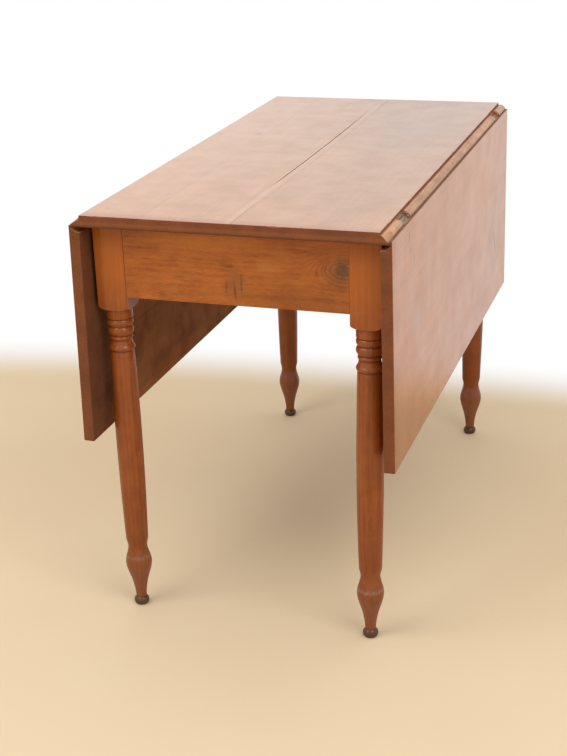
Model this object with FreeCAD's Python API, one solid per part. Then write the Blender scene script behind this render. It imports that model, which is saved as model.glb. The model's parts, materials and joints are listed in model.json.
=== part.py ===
"""Cherry drop-leaf table on four turned legs, modelled piece by piece with its leaves hanging.

Frame, in millimetres: X runs across the leaves, Y along the top, Z up, origin on the floor under the middle.
"""
import FreeCAD, Part
import math
import os

V = FreeCAD.Vector

# Whole table
table_height = 735.0
top_length = 1022.0
top_width = 489.0
board = 19.0
edge_round = 1.5

# Boards of the fixed top, from the left edge; the right board takes the rest
left_board_width = 101.5
middle_board_width = 138.5
strip_width = 16.5

# Rule joint: a step and a round on the top, a matching hollow on the leaf, both centred on the hinge pins
joint_step = 5.0
joint_rise = 11.0
pin_from_step = 4.0
joint_gap = 1.0
leaf_reach = 377.0
leaf_lean = 1.0

# Legs: square post
leg_from_side = 30.0
leg_from_end = 60.0
post = 52.0
post_length = 149.0
post_arris = 1.2
shoulder_rise = 9.0
shoulder_inset = 1.0

# Legs: turned collar under the post, lengths from the post down
neck_length = 17.3
neck_radius = 22.5
groove_width = 1.5
groove_radius = 20.6
upper_bead_length = 12.2
upper_bead_radius = 22.6
middle_bead_length = 13.5
middle_bead_radius = 22.6
waist_slope_length = 3.0
waist_radius = 18.4
ring_length = 6.0
ring_radius = 20.0
hollow_length = 11.0
hollow_sag = 0.9
flare_radius = 21.2
lower_bead_length = 8.5
lower_bead_radius = 22.4

# Legs: swelling shaft, bulb and foot, heights from the floor
shaft_top_radius = 20.7
shaft_swell_radius = 23.0
shaft_swell_height = 315.0
shaft_end_radius = 19.9
shaft_end_height = 133.0
shaft_end_slope = 0.2
throat_radius = 17.3
throat_height = 119.0
bulb_radius = 23.6
bulb_height = 87.0
calf_radius = 14.0
calf_height = 47.0
ankle_radius = 9.7
ankle_height = 15.0
foot_radius = 13.8
foot_mid_height = 7.2
sole_radius = 10.3

# Aprons and rails, tenoned into the posts
apron_depth = 125.0
apron_thickness = 22.0
apron_setback = 2.0
rail_thickness = 22.0
rail_setback = 3.0
tenon_length = 22.0
tenon_thickness = 8.0
tenon_shoulder = 10.0

# Fly brackets: wooden leaf supports on knuckle joints, closed against the side rails
fly_thickness = 22.0
fly_depth = 90.0
fly_tip_depth = 34.0
fly_pivot_y = 125.0
fly_tip_gap = 3.0
fly_straight = 120.0
fly_top_gap = 0.5
fly_knuckles = 5
fly_gap = 0.4
fly_pin_radius = 3.0

# Table hinges, let in under the rule joints
hinge_from_front = 119.0
hinge_from_back = 94.0
hinge_width = 38.0
hinge_plate = 2.2
hinge_top_length = 34.0
hinge_leaf_length = 50.0
barrel_radius = 4.5
barrel_gap = 0.5
hinge_pin_radius = 1.8
pin_running_fit = 0.06
slot_clearance = 0.5
break_length = 58.0
break_slant = 9.0
break_inset = 1.0

# Screws
hinge_screw_radius = 1.7
hinge_screw_head = 3.6
hinge_screw_length = 13.0
hinge_screw_end = 8.0
hinge_screw_stagger = 7.0
slot_width = 0.8
slot_depth = 0.8
pocket_radius = 5.5
pocket_tilt = 14.0
pocket_seat = 26.0
pocket_end = 75.0
pocket_screw_radius = 2.2
pocket_screw_head = 4.6
pocket_screw_head_length = 3.0
pocket_screw_bite = 12.0
apron_screw_x = 105.0
rail_screw_y = 260.0
fly_screw_radius = 2.2
fly_screw_head = 4.6
fly_screw_bite = 14.0
fly_screw_y = 70.0

# Places that follow from the sizes above
edge_x = top_width / 2
end_y = top_length / 2
under_z = table_height - board
pin_x = edge_x + pin_from_step
step_z = table_height - joint_step
pin_z = step_z - joint_rise
joint_round = math.hypot(pin_from_step, joint_rise)
pin_drop = pin_z - under_z
leg_x = edge_x - leg_from_side
leg_y = end_y - leg_from_end
post_face_x = leg_x + post / 2
post_inner_x = leg_x - post / 2
post_face_y = leg_y + post / 2
post_inner_y = leg_y - post / 2
post_bottom = under_z - post_length
apron_bottom = under_z - apron_depth
apron_outer_y = post_face_y - apron_setback
apron_inner_y = apron_outer_y - apron_thickness
apron_mid_y = apron_outer_y - apron_thickness / 2
fly_outer_x = post_face_x - rail_setback
rail_outer_x = fly_outer_x - fly_thickness
rail_inner_x = rail_outer_x - rail_thickness
rail_mid_x = rail_outer_x - rail_thickness / 2
fly_mid_x = fly_outer_x - fly_thickness / 2
fly_top_z = under_z - fly_top_gap
left_seam = left_board_width - edge_x
strip_start = left_seam + middle_board_width
right_seam = strip_start + strip_width
hinge_places = {"front": hinge_from_front - end_y, "back": end_y - hinge_from_back}


class Outline:
    """A closed outline drawn edge by edge; place turns two sizes into a point of its plane."""

    def __init__(self, place, across, up):
        self.place = place
        self.first = place(across, up)
        self.last = self.first
        self.edges = []

    def line(self, across, up):
        point = self.place(across, up)
        self.edges.append(Part.LineSegment(self.last, point).toShape())
        self.last = point

    def arc(self, mid_across, mid_up, across, up):
        middle = self.place(mid_across, mid_up)
        point = self.place(across, up)
        self.edges.append(Part.Arc(self.last, middle, point).toShape())
        self.last = point

    def curve(self, stations, tangents):
        """A smooth curve through (across, up) stations, with the tangent given at each one, or None."""
        points = [self.last] + [self.place(*station) for station in stations]
        flags = [tangent is not None for tangent in tangents]
        directions = [self.place(*tangent) if tangent else V(0, 0, -1) for tangent in tangents]
        spline = Part.BSplineCurve()
        spline.interpolate(Points=points, Tangents=directions, TangentFlags=flags)
        self.edges.append(spline.toShape())
        self.last = points[-1]

    def face(self):
        if self.last.distanceToPoint(self.first) > 1e-6:
            self.edges.append(Part.LineSegment(self.last, self.first).toShape())
        return Part.Face(Part.Wire(self.edges))


def in_section(across, up):
    """A point of the plane across the table: across is X, up is Z."""
    return V(across, 0, up)


def box(low, high):
    return Part.makeBox(high[0] - low[0], high[1] - low[1], high[2] - low[2], V(*low))


def rod(radius, start, end):
    axis = end - start
    return Part.makeCylinder(radius, axis.Length, start, axis)


def along_y(face, low, high):
    """A face of the XZ plane drawn out from Y = low to Y = high."""
    moved = face.translated(V(0, low, 0))
    return moved.extrude(V(0, high - low, 0))


def mirror_x(shape):
    return shape.mirror(V(0, 0, 0), V(1, 0, 0))


def mirror_y(shape):
    return shape.mirror(V(0, 0, 0), V(0, 1, 0))


def soften(shape, radius, wanted):
    """Rounds the straight edges whose middle point is wanted."""
    edges = [e for e in shape.Edges if len(e.Vertexes) == 2 and wanted(e)]
    return shape.makeFillet(radius, edges)


def whole(shape):
    """The one solid that a joined or cut shape comes to."""
    solids = shape.removeSplitter().Solids
    if len(solids) != 1:
        raise ValueError("a piece came apart")
    return solids[0]


def is_straight(edge):
    return isinstance(edge.Curve, Part.Line)


def near(value, target):
    return abs(value - target) < 1e-4


# Turned legs


def turned_profile():
    """Half section of the turning, from the post's lower end down to the sole."""
    pen = Outline(in_section, 0, post_bottom)
    pen.line(neck_radius, post_bottom)
    height = post_bottom - neck_length
    pen.line(neck_radius, height)

    def groove(height):
        height -= groove_width
        pen.line(groove_radius, height)
        return height

    def bead(height, length, radius, end_radius):
        pen.arc(radius, height - length / 2, end_radius, height - length)
        return height - length

    height = groove(height)
    height = bead(height, upper_bead_length, upper_bead_radius, groove_radius)
    height = groove(height)
    height = bead(height, middle_bead_length, middle_bead_radius, groove_radius)
    height -= waist_slope_length
    pen.line(waist_radius, height)
    height = bead(height, ring_length, ring_radius, waist_radius)
    hollow_mid = (waist_radius + flare_radius) / 2 - hollow_sag
    pen.arc(hollow_mid, height - hollow_length / 2, flare_radius, height - hollow_length)
    height -= hollow_length
    height = bead(height, lower_bead_length, lower_bead_radius, groove_radius)
    height = groove(height)
    pen.line(shaft_top_radius, height - groove_width)
    pen.arc(shaft_swell_radius, shaft_swell_height, shaft_end_radius, shaft_end_height)
    stations = [(throat_radius, throat_height), (bulb_radius, bulb_height), (calf_radius, calf_height)]
    stations.append((ankle_radius, ankle_height))
    down = (0, -1)
    pen.curve(stations, [(-shaft_end_slope, -1), down, down, None, down])
    pen.arc(foot_radius, foot_mid_height, sole_radius, 0)
    pen.line(0, 0)
    return pen.face()


def shouldered_post():
    """The square post, its lower corners turned away on the lathe."""
    half = post / 2
    reach = half * math.sqrt(2)
    blank = box((-half, -half, post_bottom), (half, half, under_z))

    def upright(edge):
        place = edge.CenterOfMass
        return near(abs(place.x), half) and near(abs(place.y), half)

    blank = soften(blank, post_arris, upright)
    pen = Outline(in_section, 0, post_bottom)
    pen.line(half - shoulder_inset, post_bottom)
    bulge = (reach - half + shoulder_inset) * math.sqrt(0.5)
    rise = shoulder_rise * (1 - math.sqrt(0.5))
    pen.arc(half - shoulder_inset + bulge, post_bottom + rise, reach, post_bottom + shoulder_rise)
    pen.line(reach, under_z)
    pen.line(0, under_z)
    turned = pen.face().revolve(V(0, 0, 0), V(0, 0, 1), 360)
    return blank.common(turned)


def plain_leg():
    turned = turned_profile().revolve(V(0, 0, 0), V(0, 0, 1), 360)
    return whole(shouldered_post().fuse(turned))


def apron_tenon(side_x, side_y):
    """The end apron's tenon in the post on the given sides."""
    inner = post_inner_x * side_x
    tip = (post_inner_x + tenon_length) * side_x
    mid = apron_mid_y * side_y
    low = (min(inner, tip), mid - tenon_thickness / 2, apron_bottom + tenon_shoulder)
    high = (max(inner, tip), mid + tenon_thickness / 2, under_z - tenon_shoulder)
    return box(low, high)


def rail_tenon(side_x, side_y):
    """The side rail's tenon in the post on the given sides."""
    inner = post_inner_y * side_y
    tip = (post_inner_y + tenon_length) * side_y
    mid = rail_mid_x * side_x
    low = (mid - tenon_thickness / 2, min(inner, tip), apron_bottom + tenon_shoulder)
    high = (mid + tenon_thickness / 2, max(inner, tip), under_z - tenon_shoulder)
    return box(low, high)


def leg(plain, side_x, side_y):
    standing = plain.translated(V(leg_x * side_x, leg_y * side_y, 0))
    return whole(standing.cut(apron_tenon(side_x, side_y)).cut(rail_tenon(side_x, side_y)))


# Aprons, side rails and the screws that hold the top to them


def pocket_line(end_point, lean):
    """Direction of a pocket screw: up into the top, leaning outwards by lean."""
    tilt = math.radians(pocket_tilt)
    return end_point, V(lean[0] * math.sin(tilt), lean[1] * math.sin(tilt), math.cos(tilt))


def pocket_lines(kind, side):
    """The screw lines of one apron or rail, each by its point in the top's underside and its direction."""
    if kind == "apron":
        points = [V(x, apron_mid_y * side, under_z) for x in (-apron_screw_x, apron_screw_x)]
        return [pocket_line(point, (0, side)) for point in points]
    points = [V(rail_mid_x * side, y, under_z) for y in (-rail_screw_y, rail_screw_y)]
    return [pocket_line(point, (side, 0)) for point in points]


def pocket_cut(point, direction):
    seat = point - direction * pocket_seat
    pocket = rod(pocket_radius, point - direction * pocket_end, seat)
    return pocket.fuse(rod(pocket_screw_radius, seat, point + direction * pocket_screw_bite))


def pocket_screw(point, direction):
    seat = point - direction * pocket_seat
    head = rod(pocket_screw_head, seat - direction * pocket_screw_head_length, seat)
    shank = rod(pocket_screw_radius, seat, point + direction * pocket_screw_bite)
    return whole(head.fuse(shank))


def all_pocket_lines():
    lines = []
    for side in (-1, 1):
        lines += pocket_lines("apron", side)
        lines += pocket_lines("rail", side)
    return lines


def end_apron(side):
    low_y, high_y = sorted((apron_outer_y * side, apron_inner_y * side))
    apron = box((-post_inner_x, low_y, apron_bottom), (post_inner_x, high_y, under_z))

    def lower_edge(edge):
        place = edge.CenterOfMass
        return near(place.z, apron_bottom) and near(place.x, 0)

    apron = soften(apron, edge_round, lower_edge)
    for side_x in (-1, 1):
        apron = apron.fuse(apron_tenon(side_x, side))
    for point, direction in pocket_lines("apron", side):
        apron = apron.cut(pocket_cut(point, direction))
    return whole(apron)


def side_rail(side):
    low_x, high_x = sorted((rail_outer_x * side, rail_inner_x * side))
    rail = box((low_x, -post_inner_y, apron_bottom), (high_x, post_inner_y, under_z))
    for side_y in (-1, 1):
        rail = rail.fuse(rail_tenon(side, side_y))
    for point, direction in pocket_lines("rail", side):
        rail = rail.cut(pocket_cut(point, direction))
    for screw in fly_screw_pair(side):
        rail = rail.cut(screw)
    return whole(rail)


# Fly brackets, drawn on the right and at the back, then mirrored


def fly_levels(of_block):
    """Heights (low, high) of the wooden knuckles of the block, or of the bracket."""
    step = fly_depth / fly_knuckles
    bottom = fly_top_z - fly_depth
    return [
        (bottom + n * step, bottom + (n + 1) * step) for n in range(fly_knuckles) if (n % 2 == 0) == of_block
    ]


def fly_relief(side_y, pivot_side):
    """Wedge cut off a shoulder at 45 degrees, so that the bracket can swing out square."""
    pivot = fly_pivot_y * side_y
    reach = fly_thickness / 2
    across = pivot_side * side_y * reach
    corners = [V(fly_mid_x, pivot, 0), V(fly_mid_x + reach, pivot + across, 0)]
    corners.append(V(fly_mid_x + reach, pivot, 0))
    face = Part.Face(Part.makePolygon(corners + corners[:1]))
    return face.translated(V(0, 0, fly_top_z - fly_depth)).extrude(V(0, 0, fly_depth))


def fly_axis(side_y, low, high):
    pivot = fly_pivot_y * side_y
    return V(fly_mid_x, pivot, low), V(fly_mid_x, pivot, high)


def fly_block():
    """The fixed middle block with a knuckle at each end."""
    low_z = fly_top_z - fly_depth
    block = box((rail_outer_x, -fly_pivot_y, low_z), (fly_outer_x, fly_pivot_y, fly_top_z))
    for side_y in (-1, 1):
        block = block.cut(fly_relief(side_y, -1))
        block = block.fuse(rod(fly_thickness / 2, *fly_axis(side_y, low_z, fly_top_z)))
        for low, high in fly_levels(of_block=False):
            room = rod(fly_thickness / 2 + fly_gap, *fly_axis(side_y, low - fly_gap, high + fly_gap))
            block = block.cut(room)
        block = block.cut(rod(fly_pin_radius, *fly_axis(side_y, low_z, fly_top_z)))
    for screw in fly_screw_pair(1):
        block = block.cut(screw)
    return whole(block)


def fly_bracket():
    """The back bracket on the right: straight by its knuckle, then swept up to a slim tip."""
    low_z = fly_top_z - fly_depth
    tip_y = post_inner_y - fly_tip_gap
    tip_z = fly_top_z - fly_tip_depth
    bend_y = fly_pivot_y + fly_straight
    mid_y = (bend_y + tip_y) / 2
    mid_z = (low_z + tip_z) / 2
    pen = Outline(lambda along, up: V(rail_outer_x + fly_gap, along, up), fly_pivot_y, low_z)
    pen.line(bend_y, low_z)
    quarter = (mid_y - bend_y) / 2
    sag = (mid_z - low_z) / 4
    pen.arc(bend_y + quarter, low_z + sag, mid_y, mid_z)
    pen.arc(mid_y + quarter, tip_z - sag, tip_y, tip_z)
    pen.line(tip_y, fly_top_z)
    pen.line(fly_pivot_y, fly_top_z)
    bracket = pen.face().extrude(V(fly_thickness - fly_gap, 0, 0))
    bracket = bracket.cut(fly_relief(1, 1))
    bracket = bracket.fuse(rod(fly_thickness / 2 - fly_gap, *fly_axis(1, low_z, fly_top_z)))
    for low, high in fly_levels(of_block=True):
        bracket = bracket.cut(rod(fly_thickness / 2 + fly_gap, *fly_axis(1, low, high)))
    bracket = bracket.cut(rod(fly_pin_radius + pin_running_fit, *fly_axis(1, low_z, fly_top_z)))
    return whole(bracket)


def fly_pin():
    return rod(fly_pin_radius, *fly_axis(1, fly_top_z - fly_depth, fly_top_z))


def fly_screw_pair(side):
    """The two screws that hold a fly block to its side rail, driven from inside."""
    screws = []
    for y in (-fly_screw_y, fly_screw_y):
        z = fly_top_z - fly_depth / 2
        start = V(rail_inner_x * side, y, z)
        out = V(side, 0, 0)
        tip = V((rail_outer_x + fly_screw_bite) * side, y, z)
        head_length = fly_screw_head - fly_screw_radius
        head = Part.makeCone(fly_screw_head, fly_screw_radius, head_length, start, out)
        screws.append(whole(head.fuse(rod(fly_screw_radius, start, tip))))
    return screws


# Table hinges, drawn on the right with the leaf level


def hinge_levels(y):
    """Stretches of the barrel along Y: outer two on the top's plate, the middle one on the leaf's."""
    third = hinge_width / 3
    low = y - hinge_width / 2
    outer = [(low, low + third - barrel_gap / 2), (low + 2 * third + barrel_gap / 2, low + hinge_width)]
    return outer, (low + third + barrel_gap / 2, low + 2 * third - barrel_gap / 2)


def pin_axis(low, high):
    return V(pin_x, low, pin_z), V(pin_x, high, pin_z)


def plate_box(start, end, low, high):
    """Part of a hinge plate: start and end are X from the pin."""
    bottom = under_z
    return box((pin_x + start, low, bottom), (pin_x + end, high, bottom + hinge_plate))


def tongue_notch():
    """How far a plate is cut back beside the other plate's knuckle."""
    return math.hypot(barrel_radius + barrel_gap, pin_drop) + barrel_gap


def hinge_plate_top(y):
    outer, middle = hinge_levels(y)
    low = y - hinge_width / 2
    plate = plate_box(-hinge_top_length, 0, low, low + hinge_width)
    plate = plate.cut(plate_box(-tongue_notch(), 0, middle[0] - barrel_gap, middle[1] + barrel_gap))
    for stretch in outer:
        plate = plate.fuse(rod(barrel_radius, *pin_axis(*stretch)))
    for stretch in outer:
        plate = plate.cut(rod(hinge_pin_radius, *pin_axis(*stretch)))
    for screw in hinge_screws(y, "top"):
        plate = plate.cut(screw)
    return whole(plate)


def hinge_plate_leaf(y):
    """The leaf's plate, in the level pose."""
    outer, middle = hinge_levels(y)
    low = y - hinge_width / 2
    plate = plate_box(barrel_radius + barrel_gap, hinge_leaf_length, low, low + hinge_width)
    plate = plate.fuse(plate_box(0, barrel_radius + 2 * barrel_gap, *middle))
    plate = plate.fuse(rod(barrel_radius, *pin_axis(*middle)))
    plate = plate.cut(rod(hinge_pin_radius + pin_running_fit, *pin_axis(*middle)))
    for screw in hinge_screws(y, "leaf"):
        plate = plate.cut(screw)
    return whole(plate)


def hinge_pin(y):
    return rod(hinge_pin_radius, *pin_axis(y - hinge_width / 2, y + hinge_width / 2))


def hinge_screw_places(y, part):
    if part == "top":
        near_x = pin_x - tongue_notch() - hinge_screw_end / 2
        far_x = pin_x - hinge_top_length + hinge_screw_end
        return [(near_x, y - hinge_screw_stagger), (far_x, y + hinge_screw_stagger)]
    near_x = pin_x + joint_round + joint_gap + hinge_screw_end
    far_x = pin_x + hinge_leaf_length - hinge_screw_end
    middle_x = (near_x + far_x) / 2
    low_y = y - hinge_screw_stagger
    return [(near_x, low_y), (middle_x, y + hinge_screw_stagger), (far_x, low_y)]


def hinge_screws(y, part):
    """Countersunk screws driven up through one hinge plate."""
    screws = []
    for x, place_y in hinge_screw_places(y, part):
        start = V(x, place_y, under_z)
        head = Part.makeCone(hinge_screw_head, hinge_screw_radius, hinge_plate, start, V(0, 0, 1))
        shank = rod(hinge_screw_radius, start, start + V(0, 0, hinge_screw_length))
        screws.append(whole(head.fuse(shank)))
    return screws


def slotted(screw):
    """Cuts the driver slot across a hinge screw's head."""
    middle = V(screw.CenterOfMass.x, screw.CenterOfMass.y, under_z)
    half = slot_width / 2
    slot = box((-hinge_screw_head, -half, 0), (hinge_screw_head, half, slot_depth)).translated(middle)
    return whole(screw.cut(slot))


# Boards of the fixed top and the leaves


def board_between(low_x, high_x):
    """A square-edged board of the top."""
    plank = box((low_x, -end_y, under_z), (high_x, end_y, table_height))
    at_end = lambda e: near(abs(e.CenterOfMass.y), end_y) and near(e.Length, high_x - low_x)
    return soften(plank, edge_round, at_end)


def edge_board(inner_x):
    """The right edge board, with the step and the round of the rule joint."""
    pen = Outline(in_section, inner_x, under_z)
    foot = math.sqrt(joint_round ** 2 - pin_drop ** 2)
    middle = joint_round * math.sqrt(0.5)
    pen.line(pin_x + foot, under_z)
    pen.arc(pin_x + middle, pin_z + middle, edge_x, step_z)
    pen.line(edge_x, table_height)
    pen.line(inner_x, table_height)
    plank = along_y(pen.face(), -end_y, end_y)

    def at_end(edge):
        middle_z = edge.CenterOfMass.z
        flat = near(middle_z, table_height) or near(middle_z, under_z)
        return is_straight(edge) and near(abs(edge.CenterOfMass.y), end_y) and flat

    plank = soften(plank, edge_round, at_end)
    for y in hinge_places.values():
        plank = plank.cut(top_hinge_gain(y))
    return plank


def top_hinge_gain(y):
    """Room in the top for a hinge plate, its barrel and the swing of the leaf's plate."""
    low = y - hinge_width / 2
    gain = plate_box(-hinge_top_length, 0, low, low + hinge_width)
    slot_top = pin_z + barrel_radius + slot_clearance
    slot_low = (pin_x - tongue_notch(), low - slot_clearance, under_z)
    slot_high = (pin_x + joint_round, low + hinge_width + slot_clearance, slot_top)
    gain = gain.fuse(box(slot_low, slot_high))
    for screw in hinge_screws(y, "top"):
        gain = gain.fuse(screw)
    return gain


def broken_round(y):
    """The stretch of the round that has broken away over a hinge barrel."""
    half = break_length / 2
    inner = edge_x + break_inset
    outer = pin_x + joint_round
    corners = [V(outer, y - half, 0), V(outer, y + half, 0)]
    corners += [V(inner, y + half - break_slant, 0), V(inner, y - half + break_slant, 0)]
    face = Part.Face(Part.makePolygon(corners + corners[:1]))
    return face.translated(V(0, 0, under_z)).extrude(V(0, 0, pin_drop + joint_round))


def level_leaf():
    """The right leaf, level: hollow lip at the joint, plain square outer edge."""
    hollow = joint_round + joint_gap
    pen = Outline(in_section, pin_x + hollow, under_z)
    pen.line(pin_x + leaf_reach, under_z)
    pen.line(pin_x + leaf_reach, table_height)
    pen.line(edge_x + joint_gap, table_height)
    lip = math.sqrt(hollow ** 2 - (pin_from_step - joint_gap) ** 2)
    middle = hollow * math.sqrt(0.5)
    pen.line(edge_x + joint_gap, pin_z + lip)
    pen.arc(pin_x + middle, pin_z + middle, pin_x + hollow, pin_z)
    leaf = along_y(pen.face(), -end_y, end_y)

    def outer_edge(edge):
        place = edge.CenterOfMass
        at_reach = near(place.x, pin_x + leaf_reach)
        at_end = near(abs(place.y), end_y) and (near(place.z, table_height) or near(place.z, under_z))
        return is_straight(edge) and (at_reach or at_end)

    leaf = soften(leaf, edge_round, outer_edge)
    for y in hinge_places.values():
        low = y - hinge_width / 2
        leaf = leaf.cut(plate_box(0, hinge_leaf_length, low, low + hinge_width))
        for screw in hinge_screws(y, "leaf"):
            leaf = leaf.cut(screw)
    return whole(leaf)


def hang(shape):
    """Turns a level piece of the right leaf down about the hinge pins."""
    turned = shape.copy()
    turned.rotate(V(pin_x, 0, pin_z), V(0, 1, 0), 90 - leaf_lean)
    return turned


def with_screw_holes(plank):
    for point, direction in all_pocket_lines():
        plank = plank.cut(pocket_screw(point, direction))
    return whole(plank)


# All pieces by name


def top_pieces():
    right = edge_board(right_seam)
    for y in hinge_places.values():
        right = right.cut(broken_round(y))
    pieces = {
        "top_board_left": mirror_x(edge_board(-left_seam)),
        "top_board_middle": board_between(left_seam, strip_start),
        "top_seam_strip": board_between(strip_start, right_seam),
        "top_board_right": right,
    }
    return {name: with_screw_holes(plank) for name, plank in pieces.items()}


def leg_pieces():
    plain = plain_leg()
    pieces = {}
    for end, side_y in (("front", -1), ("back", 1)):
        pieces["end_apron_" + end] = end_apron(side_y)
        for side, side_x in (("left", -1), ("right", 1)):
            pieces["leg_" + end + "_" + side] = leg(plain, side_x, side_y)
    return pieces


def fly_pieces():
    parts = {"fly_bracket_": fly_bracket(), "fly_pin_": fly_pin()}
    pieces = {"side_rail_left": side_rail(-1), "side_rail_right": side_rail(1)}
    block = fly_block()
    pieces["fly_block_right"] = block
    pieces["fly_block_left"] = mirror_x(block)
    for name, part in parts.items():
        pieces[name + "right_back"] = part
        pieces[name + "right_front"] = mirror_y(part)
        pieces[name + "left_back"] = mirror_x(part)
        pieces[name + "left_front"] = mirror_x(mirror_y(part))
    pieces["fly_screws"] = Part.Compound(fly_screw_pair(-1) + fly_screw_pair(1))
    return pieces


def hinge_pieces():
    pieces = {}
    top_screws = []
    leaf_screws = []
    for end, y in hinge_places.items():
        parts = {
            "hinge_plate_top_": hinge_plate_top(y),
            "hinge_pin_": hinge_pin(y),
            "hinge_plate_leaf_": hang(hinge_plate_leaf(y)),
        }
        for name, part in parts.items():
            pieces[name + "right_" + end] = part
            pieces[name + "left_" + end] = mirror_x(part)
        top_screws += [slotted(screw) for screw in hinge_screws(y, "top")]
        leaf_screws += [hang(slotted(screw)) for screw in hinge_screws(y, "leaf")]
    pieces["hinge_screws_top"] = Part.Compound(top_screws + [mirror_x(screw) for screw in top_screws])
    pieces["hinge_screws_leaf_right"] = Part.Compound(leaf_screws)
    pieces["hinge_screws_leaf_left"] = Part.Compound([mirror_x(screw) for screw in leaf_screws])
    return pieces


def leaf_pieces():
    leaf = hang(level_leaf())
    return {"leaf_right": leaf, "leaf_left": mirror_x(leaf)}


def main():
    os.makedirs("parts", exist_ok=True)
    pieces = {}
    pieces.update(top_pieces())
    pieces.update(leaf_pieces())
    pieces.update(leg_pieces())
    pieces.update(fly_pieces())
    pieces.update(hinge_pieces())
    pieces["top_screws"] = Part.Compound([pocket_screw(*line) for line in all_pocket_lines()])
    for name, shape in pieces.items():
        shape.exportStep("parts/" + name + ".step")
        print(name, len(shape.Solids), "solids", round(shape.Volume / 1000, 2), "cm3", shape.isValid())


main()
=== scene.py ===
"""An old cherry drop-leaf table, laid out as an add-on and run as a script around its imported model."""
import json
import math
import random
from functools import partial

import bmesh
import bpy
from bpy.props import FloatProperty, FloatVectorProperty, IntProperty, PointerProperty
from mathutils import Matrix, Vector


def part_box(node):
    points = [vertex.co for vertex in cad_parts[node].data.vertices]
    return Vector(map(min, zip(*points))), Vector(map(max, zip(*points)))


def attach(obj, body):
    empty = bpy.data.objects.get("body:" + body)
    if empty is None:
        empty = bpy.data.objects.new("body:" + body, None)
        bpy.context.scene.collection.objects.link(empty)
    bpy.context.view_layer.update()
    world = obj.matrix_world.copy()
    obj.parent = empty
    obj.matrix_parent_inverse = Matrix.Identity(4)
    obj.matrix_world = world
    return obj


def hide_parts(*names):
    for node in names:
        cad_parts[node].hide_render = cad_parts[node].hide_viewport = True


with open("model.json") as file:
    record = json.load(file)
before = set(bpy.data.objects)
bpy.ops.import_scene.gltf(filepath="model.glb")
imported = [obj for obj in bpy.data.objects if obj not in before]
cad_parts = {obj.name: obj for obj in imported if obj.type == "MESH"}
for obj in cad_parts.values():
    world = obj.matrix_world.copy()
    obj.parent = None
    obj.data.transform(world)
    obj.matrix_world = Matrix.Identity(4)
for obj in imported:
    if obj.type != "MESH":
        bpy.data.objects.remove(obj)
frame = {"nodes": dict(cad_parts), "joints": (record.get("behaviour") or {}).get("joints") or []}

bl_info = {
    "name": "Cherry drop-leaf table",
    "version": (1, 0, 0),
    "blender": (4, 5, 0),
    "location": "3D View > Sidebar > Table",
    "description": "Models and finishes the boards, leaves, legs and hinges of a drop-leaf table",
    "category": "Mesh",
}

# A millimetre in metres, and the distance within which two places count as one
MM = 0.001
NEAR = 0.01 * MM
# The hinge pins stand this far outside the step of the rule joint; the hinge plates are let in this deep
PIN_FROM_STEP = 4 * MM
PLATE_DEEP = 2.2 * MM
# The front ends of the left round and the left leaf's lip are worn over this length
WORN_END = 90 * MM
# Grooves of the turning, in millimetres below the post
GROOVES = (18.0, 31.8, 47.5, 56.0, 75.2)
# Angles between faces: so flat that they are one, so sharp that the arris is eased,
# and the most that shades as one curve on a board and on a leg
ONE_FACE = math.radians(0.5)
SHARP = math.radians(40)
BOARD_CURVE = math.radians(35)
LEG_CURVE = math.radians(28)
# Share of a direction along one axis from which it counts as lying along it, or as facing out of an end
ALONG, END_ON = 0.9, 0.75
SIDES = {"left": -1, "right": 1}
ENDS = {"front": -1, "back": 1}

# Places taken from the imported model, in metres: X across the leaves, Y along the top, Z up
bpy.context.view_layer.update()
hinge = {joint["name"]: joint for joint in frame["joints"]}["right_leaf_hinge"]
pin = Vector(hinge["pos_m"])
leaf_swing = math.radians(hinge["range_deg"][1])
board_low, board_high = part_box("top_board_right")
left_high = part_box("top_board_left")[1]
strip_low, strip_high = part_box("top_seam_strip")
leg_low, leg_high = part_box("leg_front_right")
edge_x = pin.x - PIN_FROM_STEP
end_y = board_high.y
top_z = board_high.z
under_z = board_low.z
round_radius = board_high.x - pin.x
step_z = pin.z + math.sqrt(round_radius ** 2 - PIN_FROM_STEP ** 2)
leg_x = (leg_low.x + leg_high.x) / 2
leg_y = -(leg_low.y + leg_high.y) / 2
post_half = (leg_high.x - leg_low.x) / 2


def linear(code):
    """An sRGB hex colour as linear red, green and blue."""
    shares = [int(code[place:place + 2], 16) / 255 for place in (1, 3, 5)]
    return [s / 12.92 if s <= 0.04045 else ((s + 0.055) / 1.055) ** 2.4 for s in shares]


def length(name, description, default):
    """A length that a user can change."""
    return FloatProperty(name=name, description=description, default=default, min=0.0, unit="LENGTH")


def colour(name, description, code):
    """A colour that a user can change."""
    return FloatVectorProperty(
        name=name, description=description, default=linear(code), min=0.0, max=1.0, size=3, subtype="COLOR"
    )


class TableSizes(bpy.types.PropertyGroup):
    """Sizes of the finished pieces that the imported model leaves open."""

    arris: length("Arris", "Rounding of the outer edges of the leaves", 0.0014)
    end_arris: length("End arris", "Rounding of the ends of the top", 0.0007)
    step_out: length("Step, out", "How far the finished step stands out into the joint's clearance", 0.0006)
    seam: length("Seam", "Bevel where two boards of the top meet", 0.0002)
    open_seam: length("Open seam", "Width of the open seam beside the strip", 0.0017)
    bow: length("Bow", "How far the strip bends towards the right in the middle of the top", 0.0065)
    scoop: length("Edge wear", "Depth of the worn places along the edges", 0.001)
    leaf_reach: length("Leaf reach", "Leaf width from the hinge pin", 0.377)
    joint_gap: length("Joint gap", "Clearance in the rule joint", 0.001)
    post_length: length("Post length", "Length of the square part of a leg", 0.149)
    shoulder: length("Shoulder", "Rise of the turned shoulder at the foot of a post", 0.009)
    eased: length("Eased arris", "Rounding of the edges of aprons and rails", 0.0008)
    leg_wear: length("Leg wear", "Depth of the uneven places in the turning", 0.0005)
    lathe_steps: IntProperty(name="Lathe steps", description="Faces round a turned leg", default=80, min=24)


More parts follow.
